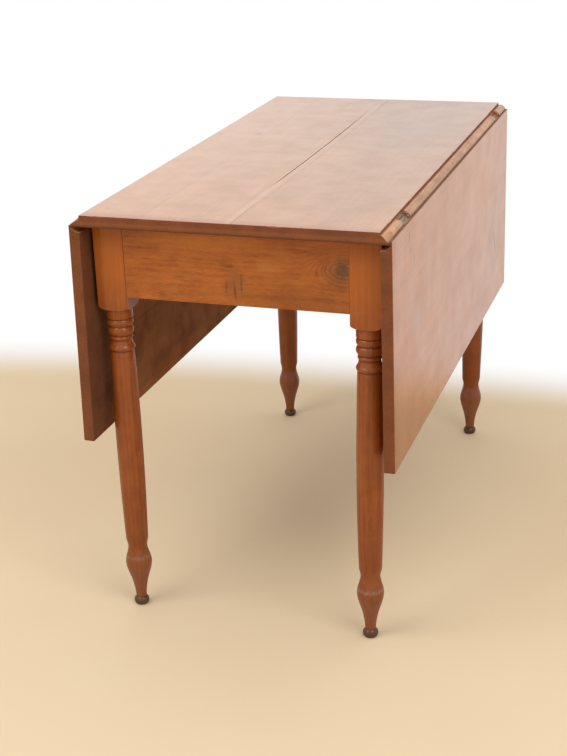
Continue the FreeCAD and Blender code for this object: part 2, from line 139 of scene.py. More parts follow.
class TableColours(bpy.types.PropertyGroup):
    """Colours of the finishes, at the light and dark ends of each."""

    top_light: colour("Top, light", "Hazy faded top between the rings", "#ca8c58")
    top_dark: colour("Top, dark", "Hazy faded top in the rings", "#b07544")
    leaf_light: colour("Leaf, light", "Outer face of the leaves between the rings", "#c98248")
    leaf_dark: colour("Leaf, dark", "Outer face of the leaves in the rings", "#aa6a37")
    apron_light: colour("Apron, light", "Aprons between the rings", "#ba682d")
    apron_dark: colour("Apron, dark", "Aprons in the rings", "#844315")
    leg_light: colour("Leg, light", "Legs between the rings", "#a85929")
    leg_dark: colour("Leg, dark", "Legs in the rings", "#693313")
    end_light: colour("End grain, light", "Ends of boards, between the rings", "#874a28")
    end_dark: colour("End grain, dark", "Ends of boards, in the rings", "#5e331a")
    bare_light: colour("Underside, light", "Unfinished undersides between the rings", "#9f6942")
    bare_dark: colour("Underside, dark", "Unfinished undersides in the rings", "#7c5032")
    joint_light: colour("Rule joint, light", "Rubbed round of the rule joint", "#d69a66")
    joint_dark: colour("Rule joint, dark", "Rubbed round of the rule joint, in the rings", "#a06840")
    break_light: colour("Old break, light", "Greyed wood where the round broke off", "#b3a28a")
    break_dark: colour("Old break, dark", "Greyed wood where the round broke off, in the rings", "#85735c")
    inner_light: colour("Inner wood, light", "Poplar rails and leaf supports", "#b98f5e")
    inner_dark: colour("Inner wood, dark", "Poplar rails and leaf supports, in the rings", "#8a6339")
    iron: colour("Hinge iron", "Bare iron of the hinges", "#b3a998")
    steel: colour("Screw steel", "Steel of the screws", "#a09a90")
    floor: colour("Floor", "Plain pale floor", "#ead2ae")


# Hand tools


def only(*pieces):
    """Selects these pieces and nothing else."""
    bpy.ops.object.select_all(action="DESELECT")
    for piece in pieces:
        piece.select_set(True)
    bpy.context.view_layer.objects.active = pieces[0]


def settle(piece):
    """Puts a piece's place, turn and scale into its mesh."""
    only(piece)
    bpy.ops.object.transform_apply(location=True, rotation=True, scale=True)
    return piece


def block(name, low, high):
    """A cuboid between two corners."""
    bpy.ops.mesh.primitive_cube_add(size=1.0, location=(Vector(low) + Vector(high)) / 2)
    piece = bpy.context.object
    piece.name = name
    piece.scale = Vector(high) - Vector(low)
    return settle(piece)


def pick(piece, kind, wanted=None):
    """Opens a piece in edit mode with its wanted faces, edges or corners selected, or else with all."""
    only(piece)
    bpy.ops.object.mode_set(mode="EDIT")
    bpy.ops.mesh.select_mode(type=kind)
    bpy.ops.mesh.select_all(action="DESELECT" if wanted else "SELECT")
    mesh = bmesh.from_edit_mesh(piece.data)
    for item in {"FACE": mesh.faces, "EDGE": mesh.edges, "VERT": mesh.verts}[kind]:
        if wanted and wanted(item):
            item.select_set(True)
    bmesh.update_edit_mesh(piece.data)


def shift(piece, kind, wanted, move):
    """Moves the wanted faces, edges or corners of a piece."""
    pick(piece, kind, wanted)
    bpy.ops.transform.translate(value=move)
    close()


def close():
    """Leaves edit mode."""
    bpy.ops.object.mode_set(mode="OBJECT")


def middle(edge):
    """The middle of an edge."""
    return (edge.verts[0].co + edge.verts[1].co) / 2


def run_of(edge):
    """The direction of an edge."""
    return (edge.verts[1].co - edge.verts[0].co).normalized()


def drawn(name, points):
    """A new piece, open in edit mode, with edges drawn from point to point."""
    bpy.ops.mesh.primitive_plane_add(size=MM, location=(0, 0, 0))
    piece = bpy.context.object
    piece.name = name
    pick(piece, "VERT")
    bpy.ops.mesh.merge(type="CENTER")
    bpy.ops.transform.translate(value=points[0])
    for here, there in zip(points, points[1:]):
        bpy.ops.mesh.extrude_region_move(TRANSFORM_OT_translate={"value": Vector(there) - Vector(here)})
    bpy.ops.mesh.select_all(action="SELECT")
    return piece


def drawn_out(name, outline, way):
    """A solid whose end is a closed outline, drawn out in one direction."""
    piece = drawn(name, outline + outline[:1])
    bpy.ops.mesh.remove_doubles(threshold=0.1 * NEAR)
    bpy.ops.mesh.edge_face_add()
    bpy.ops.mesh.extrude_region_move(TRANSFORM_OT_translate={"value": way})
    close()
    tidy_mesh(piece)
    return piece


def ball(radius, place, fineness, stretch=(1.0, 1.0, 1.0)):
    """A ball of small triangles, or a lens if it is stretched."""
    bpy.ops.mesh.primitive_ico_sphere_add(subdivisions=fineness, radius=radius, location=place)
    bpy.context.object.scale = stretch
    return settle(bpy.context.object)


def rod(radius, reach, place, sides=96):
    """A cylinder along Y."""
    bpy.ops.mesh.primitive_cylinder_add(
        vertices=sides, radius=radius, depth=reach, location=place, rotation=(math.pi / 2, 0, 0)
    )
    return settle(bpy.context.object)


def round_edges(piece, offset, steps, wanted):
    """Rounds the wanted edges of a piece."""
    pick(piece, "EDGE", wanted)
    bpy.ops.mesh.bevel(offset=offset, segments=steps, affect="EDGES", clamp_overlap=True)
    close()


def carve(piece, tools, operation="DIFFERENCE"):
    """Cuts a piece by one or more tool shapes, which are used up."""
    if len(tools) > 1:
        only(*tools)
        bpy.ops.object.join()
    only(piece)
    cut = piece.modifiers.new("carve", "BOOLEAN")
    cut.operation = operation
    cut.solver = "EXACT"
    cut.object = tools[0]
    # No piece has fewer faces than a cuboid
    least = min(len(piece.data.polygons), 6)
    bpy.ops.object.modifier_apply(modifier=cut.name)
    bpy.data.objects.remove(tools[0])
    if len(piece.data.polygons) < least:
        raise RuntimeError(piece.name + " was cut away")


def tidy_mesh(piece):
    """Merges doubles and turns all faces outwards."""
    pick(piece, "VERT")
    bpy.ops.mesh.remove_doubles(threshold=2 * NEAR)
    bpy.ops.mesh.normals_make_consistent(inside=False)
    close()


def smooth(piece):
    """Shades the curves of a board smooth, with wide faces kept flat."""
    only(piece)
    bpy.ops.object.shade_smooth_by_angle(angle=BOARD_CURVE)
    weigh = piece.modifiers.new("flat faces", "WEIGHTED_NORMAL")
    weigh.keep_sharp = True
    bpy.ops.object.modifier_apply(modifier=weigh.name)


def copy_of(piece, name):
    """A copy with its own mesh."""
    made = piece.copy()
    made.data = piece.data.copy()
    made.name = name
    bpy.context.scene.collection.objects.link(made)
    return made


def mirror_across(piece):
    """Mirrors a piece to the other side of the table."""
    piece.scale.x = -1
    settle(piece)
    tidy_mesh(piece)


def scoop_tools(start, end, outward, sizes, draw):
    """Long shallow lenses along an edge, which leave the worn places of old boards when cut away."""
    start, end, outward = Vector(start), Vector(end), Vector(outward).normalized()
    run = end - start
    axis = run.normalized()
    # Where the first one may start, the spacing, and the stretch kept clear at the far end
    first, spacing, clear = (20 * MM, 70 * MM), (10 * MM, 120 * MM), 30 * MM
    # Half length, depth as a share of the edge wear, radius across, and how much longer the lens is
    half_run, depth, across, lens = (12 * MM, 38 * MM), (0.55, 1.0), (9 * MM, 16 * MM), 1.6
    tools = []
    at = draw.uniform(*first)
    while at < run.length - clear:
        half = draw.uniform(*half_run)
        deep = draw.uniform(*depth) * sizes.scoop
        reach = draw.uniform(*across)
        place = start + axis * (at + half) + outward * (reach - deep)
        stretch = [half * lens if abs(part) > ALONG else reach for part in axis]
        tools.append(ball(1.0, place, 3, stretch))
        at += 2 * half * lens + draw.uniform(*spacing)
    return tools


def dress(piece, looks, choose=None):
    """Gives a piece its finishes by name, and each face the one chosen for it."""
    piece.data.materials.clear()
    for look in looks:
        piece.data.materials.append(FINISH[look])
    for face in piece.data.polygons:
        face.material_index = looks.index(choose(face)) if choose else 0


def stand_for(piece, node, body):
    """The piece takes the node's place in the model."""
    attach(piece, body)
    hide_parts(node)


def eased(node, width, body, slot, look):
    """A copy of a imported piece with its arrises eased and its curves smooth; it takes the node's place."""
    source = frame["nodes"][node]
    piece = bpy.data.objects.new("fine_" + node, source.data.copy())
    bpy.context.scene.collection.objects.link(piece)
    piece.matrix_world = source.matrix_world.copy()
    settle(piece)
    tidy_mesh(piece)
    pick(piece, "FACE")
    bpy.ops.mesh.dissolve_limited(angle_limit=ONE_FACE)
    close()
    ease = piece.modifiers.new("eased arris", "BEVEL")
    ease.width = width
    ease.segments = 2
    ease.limit_method = "ANGLE"
    ease.angle_limit = SHARP
    ease.use_clamp_overlap = True
    bpy.ops.object.modifier_apply(modifier=ease.name)
    dress(piece, (look,))
    smooth(piece)
    stand_for(piece, node, body)


# Finishes


def put_node(tree, kind, inputs=(), out=0, **settings):
    """Adds a shader node with its settings, sets or links its inputs, and gives one output, or else all."""
    made = tree.nodes.new("ShaderNode" + kind)
    for name, value in settings.items():
        setattr(made, name, value)
    for key, value in inputs.items() if isinstance(inputs, dict) else enumerate(inputs):
        if isinstance(value, bpy.types.NodeSocket):
            tree.links.new(value, made.inputs[key])
        else:
            made.inputs[key].default_value = value
    return made.outputs if out is None else made.outputs[out]


def new_material(name):
    """A material with an empty node tree, and the function that puts nodes in it."""
    material = bpy.data.materials.new(name)
    material.use_nodes = True
    material.node_tree.nodes.clear()
    return material, partial(put_node, material.node_tree)


def opaque(rgb):
    """A linear colour as a node takes it."""
    return (*rgb, 1.0)


def log_place(put, along, fold_legs=False):
    """Object coordinates turned so that X and Y run across the grain and Z along it."""
    place = put("TexCoord", out="Object")
    parts = put("SeparateXYZ", (place,), out=None)
    across, through, run = {"X": (1, 2, 0), "Y": (0, 2, 1), "Z": (0, 1, 2)}[along]
    sockets = [parts[across], parts[through], parts[run]]
    if fold_legs:
        # Each leg is measured from its own middle, and each uses another stretch of the log
        stretch = parts[run]
        for axis, spread, home in ((0, 1.7, leg_x), (1, 3.1, leg_y)):
            side = put("Math", (parts[axis],), operation="SIGN")
            stretch = put("Math", (side, spread, stretch), operation="MULTIPLY_ADD")
            size = put("Math", (parts[axis],), operation="ABSOLUTE")
            sockets[axis] = put("Math", (size, home), operation="SUBTRACT")
        sockets[2] = stretch
    return place, put("CombineXYZ", sockets)


def figure(put, log, look):
    """Growth rings, fibres and slow bands of a log, each as a share from 0 to 1."""
    # The trunk wavers over about 90 mm across and seven times that along
    slow = put("VectorMath", (log, (1.0, 1.0, 0.14)), operation="MULTIPLY")
    waver = put("TexNoise", {"Vector": slow, "Scale": 11.0, "Detail": 2.5}, out="Color")
    offset = put("VectorMath", (waver, (0.5, 0.5, 0.5)), operation="SUBTRACT")
    sway = (look["wander"], look["wander"], 0.0)
    moved = put("VectorMath", (offset, sway, log), operation="MULTIPLY_ADD")
    heart = (*look["heart"], 0.0)
    centred = put("VectorMath", (moved, heart), operation="SUBTRACT")
    flat = put("VectorMath", (centred, (1.0, 1.0, 0.0)), operation="MULTIPLY")
    reach = put("VectorMath", (flat,), operation="LENGTH", out="Value")
    swirl = None
    for place, radii, spread in look["knots"]:
        # Round a knot the rings swing into ovals of their own
        oval = put("Mapping", {"Vector": moved, "Location": place, "Scale": radii}, vector_type="TEXTURE")
        near = put("VectorMath", (oval,), operation="LENGTH", out="Value")
        start = math.hypot(place[0] - heart[0], place[1] - heart[1]) - spread * radii[1]
        own = put("Math", (near, radii[1], start), operation="MULTIPLY_ADD")
        share = put("MapRange", (near, spread, 1.0), interpolation_type="SMOOTHSTEP")
        reach = put("Mix", {0: share, 2: reach, 3: own}, data_type="FLOAT")
        swirl = put("Math", (share, swirl or 0.0), operation="MAXIMUM")
    # Rings about one width apart, the spacing drifting over three or four of them
    ring = look["ring"]
    turns = put("Math", (reach, 2 * math.pi / ring), operation="MULTIPLY")
    uneven = put("TexNoise", {"W": reach, "Scale": 0.3 / ring, "Detail": 2.0}, noise_dimensions="1D")
    phase = put("Math", (uneven, 9.0, turns), operation="MULTIPLY_ADD")
    wave = put("Math", (phase,), operation="SINE")
    rings = put("MapRange", (wave, -0.6, 1.0), interpolation_type="SMOOTHSTEP")
    streaks = []
    for size, detail in (("fibre", {"Roughness": 0.6}), ("band", {})):
        wide, long = look[size]
        pulled = put("VectorMath", (moved, (1 / wide, 1 / wide, 1 / long)), operation="MULTIPLY")
        streaks.append(put("TexNoise", {"Vector": pulled, "Scale": 1.0, "Detail": 3.0, **detail}))
    if swirl:
        # The swirls show more strongly than the straight grain
        bold = put("Math", (swirl, 2.0, 1.0), operation="MULTIPLY_ADD")
        lean = put("Math", (rings, 0.5), operation="SUBTRACT")
        rings = put("Math", (lean, bold, 0.5), operation="MULTIPLY_ADD")
    return rings, *streaks


def mark(put, place, where, radii, turn, strength, softness=0.7, ragged=0.35):
    """Mask of one stain or scratch: an oval whose edge is ragged over about 4 mm."""
    spot = {"Vector": place, "Location": where, "Rotation": turn, "Scale": radii}
    oval = put("Mapping", spot, vector_type="TEXTURE")
    near = put("VectorMath", (oval,), operation="LENGTH", out="Value")
    torn = put("TexNoise", {"Vector": place, "Scale": 260.0, "Detail": 2.0})
    edge = put("Math", (torn, 2 * ragged, near), operation="MULTIPLY_ADD")
    fade = (edge, 1.0 + ragged, 1.0 + ragged - softness, 0.0, strength)
    return put("MapRange", fade, interpolation_type="SMOOTHSTEP")


def flecks(put, place, spacing, size, strength):
    """Mask of small chips and specks: about one in four cells of a loose net holds one."""
    net = put("TexVoronoi", {"Vector": place, "Scale": 1 / spacing}, out=None)
    near = put("MapRange", (net["Distance"], size / spacing, 0.4 * size / spacing, 0.0, strength))
    lot = put("SeparateXYZ", (net["Color"],))
    held = put("Math", (lot, 0.75), operation="GREATER_THAN")
    return put("Math", (near, held), operation="MULTIPLY")


def wood(name, light, dark, look, marks=(), fold_legs=False):
    """Close-grained wood: rings, fibres and bands between two colours, cloudy with age, marks on top."""
    material, put = new_material(name)
    place, log = log_place(put, look["along"], fold_legs)
    rings, fibres, bands = figure(put, log, look)
    weights = look["weights"]
    tone = 0.5 - sum(weights) / 2
    for socket, weight in zip((rings, fibres, bands), weights):
        tone = put("Math", (socket, weight, tone), operation="MULTIPLY_ADD")
    tone = put("Math", (tone, 0.0), operation="MAXIMUM", use_clamp=True)
    shade = put("Mix", {0: tone, 6: opaque(light), 7: opaque(dark)}, data_type="RGBA", out=2)
    code, size, strength = look["cloud"]
    cloud = put("TexNoise", {"Vector": place, "Scale": 1 / size, "Detail": 4.0, "Roughness": 0.55})
    layers = [(code, put("MapRange", (cloud, 0.4, 0.7, 0.0, strength), interpolation_type="SMOOTHSTEP"))]
    if "smears" in look:
        # Old polish wiped across the grain, left as pale smears
        code, stretch, strength = look["smears"]
        wiped = put("VectorMath", (place, stretch), operation="MULTIPLY")
        film = put("TexNoise", {"Vector": wiped, "Scale": 1.0, "Detail": 4.0, "Distortion": 1.2})
        layers.append((code, put("MapRange", (film, 0.5, 0.72, 0.0, strength))))
    code, *shape = look["flecks"]
    layers.append((code, flecks(put, place, *shape)))
    layers += [(code, mark(put, place, *shape)) for code, *shape in marks]
    for code, share in layers:
        shade = put("Mix", {0: share, 6: shade, 7: opaque(linear(code))}, data_type="RGBA", out=2)
    low, high = look["rough"]
    rough = put("MapRange", (cloud, 0.3, 0.7, low, high))
    height = put("Math", (rings, 0.35, fibres), operation="MULTIPLY_ADD")
    bump = put("Bump", {"Height": height, "Strength": look["bump"], "Distance": 0.25 * MM})
    surface = {
        "Base Color": shade, "Roughness": rough, "Normal": bump,
        "IOR": 1.5, "Specular IOR Level": look["specular"],
        "Coat Weight": look["coat"], "Coat Roughness": look["coat_rough"],
    }
    put("OutputMaterial", {"Surface": put("BsdfPrincipled", surface)}, None)
    return material


def metal(name, rgb, rust, grit, rough):
    """Old iron or steel: grey, with brown rust in patches that also dulls it."""
    material, put = new_material(name)
    place = put("TexCoord", out="Object")
    patch = put("TexNoise", {"Vector": place, "Scale": 1 / grit, "Detail": 4.0})
    share = put("MapRange", (patch, 0.42, 0.68, 0.0, 0.8))
    tone = put("Mix", {0: share, 6: opaque(rgb), 7: opaque(linear(rust))}, data_type="RGBA", out=2)
    gloss = put("MapRange", (patch, 0.35, 0.7, rough, rough + 0.35))
    bump = put("Bump", {"Height": patch, "Strength": 0.3, "Distance": 0.2 * MM})
    surface = {"Base Color": tone, "Metallic": 0.85, "Roughness": gloss, "Normal": bump}
    put("OutputMaterial", {"Surface": put("BsdfPrincipled", surface)}, None)
    return material


# How each wood is grown and finished: sizes in metres, grain along one axis, heart of the log across it.
# Fibres are finer than a pixel on the real wood; they are drawn 1 to 4 mm wide so that they show.
# cloud: colour, size, strength; flecks: colour, spacing, size, strength; smears: colour, stretch, strength
FADED = {
    "along": "Y", "heart": (0.07, 0.55), "ring": 0.006, "wander": 0.01, "knots": (),
    "fibre": (0.0025, 0.12), "band": (0.03, 0.4), "weights": (0.12, 0.55, 1.0),
    "cloud": ("#a27548", 0.05, 0.36), "flecks": ("#7d5645", 0.03, 0.0013, 0.5),
    "rough": (0.3, 0.42), "bump": 0.08, "specular": 0.5, "coat": 0.4, "coat_rough": 0.25,
}
SHELLAC = {
    "along": "X", "heart": (-0.3, 0.5), "ring": 0.0075, "wander": 0.04, "knots": (),
    "fibre": (0.0017, 0.011), "band": (0.012, 0.05), "weights": (0.16, 1.3, 1.1),
    "cloud": ("#b0682a", 0.03, 0.45), "flecks": ("#5a3216", 0.02, 0.0012, 0.5),
    "rough": (0.3, 0.42), "bump": 0.1, "specular": 0.3, "coat": 0.0, "coat_rough": 0.2,
}
BARE = {
    "along": "Y", "heart": (0.1, 0.5), "ring": 0.008, "wander": 0.03, "knots": (),
    "fibre": (0.002, 0.08), "band": (0.03, 0.3), "weights": (0.12, 0.45, 0.6),
    "cloud": ("#5f3626", 0.06, 0.5), "flecks": ("#3c2216", 0.04, 0.0015, 0.4),
    "rough": (0.7, 0.85), "bump": 0.3, "specular": 0.12, "coat": 0.0, "coat_rough": 0.3,
}
# Each mark: colour, middle, half sizes, turn, strength and, where given, softness and raggedness of its edge
FLAT = (0.0, 0.0, 0.0)


def top_marks():
    """Seams and old stains on the fixed top."""
    seam, strip_end, board_seam = strip_low.x, strip_high.x, left_high.x
    strip_middle = (seam + strip_end) / 2
    return [
        ("#86573a", (0.17, 0.0, top_z), (0.17, 0.8, 0.1), FLAT, 0.25, 0.7, 0.1),
        ("#96755c", (0.14, 0.25, top_z), (0.17, 0.36, 0.1), FLAT, 0.4, 0.9, 0.1),
        ("#8f5a3c", (0.03, -0.33, top_z), (0.05, 0.05, 0.1), FLAT, 0.3, 0.9, 0.3),
        ("#d69a6c", (-0.25, 0.1, top_z), (0.24, 1.2, 0.1), FLAT, 0.45, 0.9, 0.1),
        ("#a85622", (0, -end_y, top_z), (2.0, 0.03, 0.1), FLAT, 0.8, 0.95, 0.15),
        ("#8a5528", (0.03, 0.32, top_z), (0.14, 0.36, 0.1), FLAT, 0.2, 0.9, 0.1),
        ("#7d4a24", (0.1, end_y, top_z), (0.35, 0.12, 0.1), FLAT, 0.3, 0.9, 0.15),
        ("#d9a074", (strip_middle, -0.15, top_z), (0.0095, 0.75, 0.03), FLAT, 0.3, 0.7, 0.15),
        ("#6b3a22", (strip_end - 0.003, -0.45, top_z), (0.0016, 0.12, 0.006), FLAT, 0.6, 0.6, 0.2),
        ("#6b3a22", (strip_end - 0.0025, 0.46, top_z), (0.0022, 0.10, 0.006), FLAT, 0.7, 0.6, 0.2),
        ("#7a4a32", (seam - 0.002, -0.32, top_z), (0.0018, 0.1, 0.006), FLAT, 0.4, 0.6, 0.2),
        ("#8a5d47", (board_seam, 0.35, top_z), (0.0012, 0.3, 0.004), FLAT, 0.4, 0.6, 0.3),
        ("#7d4f3b", (board_seam, -0.42, top_z), (0.0014, 0.2, 0.004), FLAT, 0.25, 0.6, 0.3),
        ("#77655c", (-0.158, 0.128, top_z), (0.012, 0.016, 0.01), FLAT, 0.6),
        ("#7f6a5e", (-0.153, -0.355, top_z), (0.005, 0.012, 0.01), FLAT, 0.4),
        ("#8a6553", (-0.218, -0.46, top_z), (0.006, 0.004, 0.01), FLAT, 0.5),
        ("#3c2418", (-0.03, 0.509, top_z), (0.006, 0.003, 0.006), FLAT, 0.8),
    ]


def apron_marks():
    """Knot, old scar, uneven colour and painted light under the top's edge, on the front apron."""
    face_y = -leg_y - post_half
    return [
        # Painted light: a paler band just under the top's edge, against the overhang's shade
        ("#d9853a", (-0.05, face_y, 0.692), (0.16, 0.05, 0.022), FLAT, 0.45, 0.95, 0.2),
        ("#6d3a16", (0.11, face_y, 0.600), (0.17, 0.05, 0.06), FLAT, 0.4, 0.95, 0.2),
        ("#6d4123", (0.165, face_y, 0.648), (0.035, 0.05, 0.04), FLAT, 0.45, 0.95, 0.3),
        ("#b97a40", (0.055, face_y, 0.660), (0.030, 0.02, 0.012), (0, 0.12, 0), 0.35, 0.7, 0.2),
        ("#7a5030", (0.002, face_y, 0.630), (0.024, 0.02, 0.036), FLAT, 0.5, 0.9),
        ("#564334", (0.178, face_y, 0.662), (0.020, 0.02, 0.026), FLAT, 0.85, 0.9),
        ("#6b4a33", (0.150, face_y, 0.662), (0.004, 0.02, 0.012), (0, 0.3, 0), 0.35, 0.8),
        ("#4a2a12", (-0.0139, face_y, 0.622), (0.0034, 0.02, 0.016), (0, 0.05, 0), 0.5, 0.9),
        ("#4a2a12", (0.0006, face_y, 0.616), (0.0032, 0.02, 0.021), (0, -0.04, 0), 0.55, 0.9),
        ("#4f2f18", (0.0116, face_y, 0.628), (0.0036, 0.02, 0.029), (0, 0.03, 0), 0.5, 0.9),
        ("#4f2f18", (-0.006, face_y, 0.656), (0.013, 0.02, 0.004), (0, -0.1, 0), 0.5, 0.8),
        ("#7a451c", (-0.095, face_y, 0.633), (0.018, 0.02, 0.006), FLAT, 0.5, 0.9),
    ]


def leaf_marks():
    """Scratches, a darker front end and a painted reflection low at the front of the right leaf's outer
    face.
    """
    face_x = pin.x + 17 * MM
    return [
        ("#7d4626", (face_x, -end_y, 0.5), (0.05, 0.045, 1.0), FLAT, 0.3, 0.95, 0.15),
        # Painted reflection: darker low at the front, where the leaf mirrors the floor
        ("#86502c", (face_x, -0.42, 0.342), (0.05, 0.5, 0.125), (-0.37, 0, 0), 0.55, 0.6, 0.1),
        ("#d0905a", (face_x, 0.3, 0.68), (0.05, 0.5, 0.3), FLAT, 0.35, 0.9, 0.1),
        ("#92745c", (face_x, -0.34, 0.55), (0.05, 0.11, 0.035), FLAT, 0.3, 0.9, 0.2),
        ("#927560", (face_x, 0.36, 0.52), (0.05, 0.1, 0.12), FLAT, 0.2, 0.9, 0.1),
        ("#4a2a1a", (face_x, 0.376, 0.475), (0.02, 0.004, 0.040), (0.45, 0, 0), 0.8, 0.6),
        ("#5a3220", (face_x, -0.399, 0.700), (0.02, 0.005, 0.012), (-0.4, 0, 0), 0.55, 0.8),
        ("#5a3220", (face_x, -0.392, 0.676), (0.02, 0.004, 0.007), FLAT, 0.6, 0.8),
        ("#5a3220", (face_x, -0.366, 0.655), (0.02, 0.003, 0.014), FLAT, 0.5, 0.8),
        ("#6b4837", (face_x, -0.323, 0.619), (0.02, 0.012, 0.004), (0.5, 0, 0), 0.4, 0.8),
        ("#6b4837", (face_x, 0.007, 0.538), (0.02, 0.005, 0.005), FLAT, 0.4, 0.8),
    ]


def inner_marks():
    """Dark band, warm lower edge and dark front end on the inner faces of the leaves."""
    return [
        ("#c0743c", (0, -0.25, 0.335), (0.4, 0.5, 0.075), FLAT, 0.85, 0.95, 0.2),
        ("#4c251a", (-0.25, -0.51, 0.55), (0.3, 0.11, 0.5), FLAT, 0.6, 0.7, 0.2),
        ("#35200f", (0, 0, 0.491), (0.4, 0.9, 0.006), FLAT, 0.55, 0.8, 0.3),
    ]


def joint_marks():
    """Painted shade low on both rounds, where the hollows close over them."""
    return [
        ("#5e3820", (side * board_high.x, 0, pin.z), (0.006, 2.0, 0.007), FLAT, 0.6, 0.7, 0.1)
        for side in SIDES.values()
    ]


def end_marks():
    """Top's ends: a little lighter in the lower half, and painted shadow along the bottom."""
    return [
        ("#93562f", (0, 0, under_z + 7 * MM), (2.0, 2.0, 0.005), FLAT, 0.4, 0.9, 0.2),
        # Painted shadow along the bottom arris
        ("#3d2010", (0, 0, under_z), (2.0, 2.0, 0.0035), FLAT, 0.75, 0.9, 0.2),
    ]


def leg_marks(sizes):
    """Grime in the grooves of the turning, scuffs on the bulbs, dark worn feet and painted shade on the back
    legs.
    """
    bottom = (under_z - sizes.post_length) / MM
    made = [
        ("#c8702a", (0, 0, 0.66), (2.0, 2.0, 0.13), FLAT, 0.5, 0.9, 0.05),
        ("#552812", (0, 0, 0.0), (2.0, 2.0, 0.36), FLAT, 0.3, 0.9, 0.05),
        # Painted shade: the back legs darker, further in under the table
        ("#552812", (0, leg_y, 0.35), (2.0, 0.2, 2.0), FLAT, 0.15, 0.6, 0.05),
        ("#8a6a55", (0, 0, 0.06), (2.0, 2.0, 0.06), FLAT, 0.25, 0.9, 0.3),
        ("#a58878", (leg_x, -leg_y, 0.095), (0.06, 0.06, 0.006), FLAT, 0.35, 0.9, 0.7),
        ("#a58878", (-leg_x, -leg_y, 0.1), (0.06, 0.06, 0.006), FLAT, 0.2, 0.9, 0.7),
        ("#46362a", (0, 0, 0.0), (2.0, 2.0, 0.021), FLAT, 0.8, 0.3, 0.1),
    ]
    for drop in GROOVES:
        made.append(("#3a1c0c", (0, 0, (bottom - drop) * MM), (2.0, 2.0, 0.0022), FLAT, 0.55, 0.9, 0.1))
    return made


def finishes():
    """All materials of the table by name, made once."""
    tints = bpy.context.scene.table_colours
    sizes = bpy.context.scene.table_sizes
    # Swirls of the grain on the apron: heart across and up, place along; oval sizes; how far they reach
    knots = (((-0.475, 0.660, 0.180), (0.02, 0.011, 0.016), 5.0),)
    on_leg = {
        "along": "Z", "heart": (0.035, 0.05), "wander": 0.015,
        "fibre": (0.0015, 0.05), "band": (0.009, 0.25), "weights": (0.12, 0.7, 0.6),
        "cloud": ("#a35e2a", 0.03, 0.3), "flecks": ("#d9bfa6", 0.02, 0.0011, 0.6),
        "specular": 0.0, "coat": 0.6, "coat_rough": 0.18,
    }
    across_end = {"heart": (0.07, 0.6), "ring": 0.0034, "fibre": (0.0022, 0.02), "weights": (0.16, 1.1, 1.0)}
    dull = {
        "cloud": ("#6b3d24", 0.04, 0.4),
        "rough": (0.5, 0.65), "bump": 0.2, "specular": 0.25, "coat": 0.0,
    }
    on_top = {
        "smears": ("#d3a070", (8.0, 22.0, 1.0), 0.15),
        "specular": 0.4, "coat": 0.85, "coat_rough": 0.2,
    }
    on_leaf = {
        "heart": (0.42, 0.3), "fibre": (0.004, 0.09), "weights": (0.12, 0.7, 0.9),
        "cloud": ("#a86c3c", 0.07, 0.22), "smears": ("#c58a56", (1.0, 5.0, 30.0), 0.18),
        "coat": 0.46, "coat_rough": 0.14, "specular": 0.15,
    }
    rubbed = {"coat": 0.1, "weights": (0.3, 1.3, 1.0), "cloud": ("#8a5a38", 0.02, 0.45)}
    old_grey = {"cloud": ("#8a7d68", 0.01, 0.5)}
    dusty = {"cloud": ("#7a5a38", 0.08, 0.4)}

    def cherry(name, tint, look, marks=(), fold_legs=False):
        light, dark = (getattr(tints, tint + end) for end in ("_light", "_dark"))
        return wood("cherry_" + name, light, dark, look, marks, fold_legs)

    return {
        # Faded top under old wax: pale haze at a low angle, red-brown wood beneath
        "top": cherry("top_hazed_wax", "top", {**FADED, **on_top}, top_marks()),
        # Leaves carry the same wax, a little warmer because they hang out of the sun
        "leaf": cherry("leaf_hazed_wax", "leaf", {**FADED, **on_leaf}, leaf_marks()),
        # Aprons keep their shellac: deep orange with short silky flecks
        "apron": cherry("apron_shellac", "apron", {**SHELLAC, "knots": knots}, apron_marks()),
        # Legs: glossy shellac over upright streaks, dark dirt in the turning
        "leg": cherry("leg_shellac", "leg", {**SHELLAC, **on_leg}, leg_marks(sizes), True),
        # Ends of boards drink the finish and go dark
        "end": cherry("end_grain", "end", {**FADED, **across_end, **dull}, end_marks()),
        # Undersides and inner faces: bare, dusty, never finished
        "bare": cherry("bare_underside", "bare", BARE, inner_marks()),
        # Round of the rule joint: rubbed pale by the leaves
        "joint": cherry("rubbed_joint", "joint", {**FADED, **rubbed}, joint_marks()),
        # Wood where the round broke off long ago: grey with age, no finish
        "break": cherry("old_break", "break", {**BARE, **old_grey}),
        # Step above the round: grime that hands never reach; on the leaves' lips, painted shade of the
        # joint's gap
        "step": wood("cherry_grime_and_shade_step", tints.end_light, tints.bare_dark, {**FADED, **dull}),
        # Rails and leaf supports: plain poplar, dusty brown
        "inner": wood("poplar_inner_wood", tints.inner_light, tints.inner_dark, {**BARE, **dusty}),
        # Hinges and pins: wrought iron, dull grey with brown rust
        "iron": metal("wrought_iron_hinge", tints.iron, "#6f5f4c", 3 * MM, 0.45),
        # Screws: steel, a little brighter, rusted the same way
        "steel": metal("steel_screw", tints.steel, "#6e5138", 3 * MM, 0.35),
        # Floor: matt paint with faint clouds
        "floor": floor_material(tints),
    }


# Pieces


def plate_gain(node):
    """Tools that cut the seat of a hinge plate and the room for its barrel in a board of the top."""
    low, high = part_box(node)
    inner = min(abs(low.x), abs(high.x))
    past, side_room, well_room = 1 * MM, 0.5 * MM, 0.45 * MM
    slot_half, slot_rise, well_radius = 6.3 * MM, 0.6 * MM, 5.1 * MM
    plate = block("gain", (inner, low.y, under_z - past), (pin.x, high.y, under_z + PLATE_DEEP))
    slot = block(
        "slot",
        (pin.x - slot_half, low.y - side_room, under_z - 2 * past),
        (pin.x + round_radius + past, high.y + side_room, pin.z + slot_rise),
    )
    well = rod(well_radius, high.y - low.y + 2 * well_room, (pin.x, (low.y + high.y) / 2, pin.z))
    return plate, slot, well


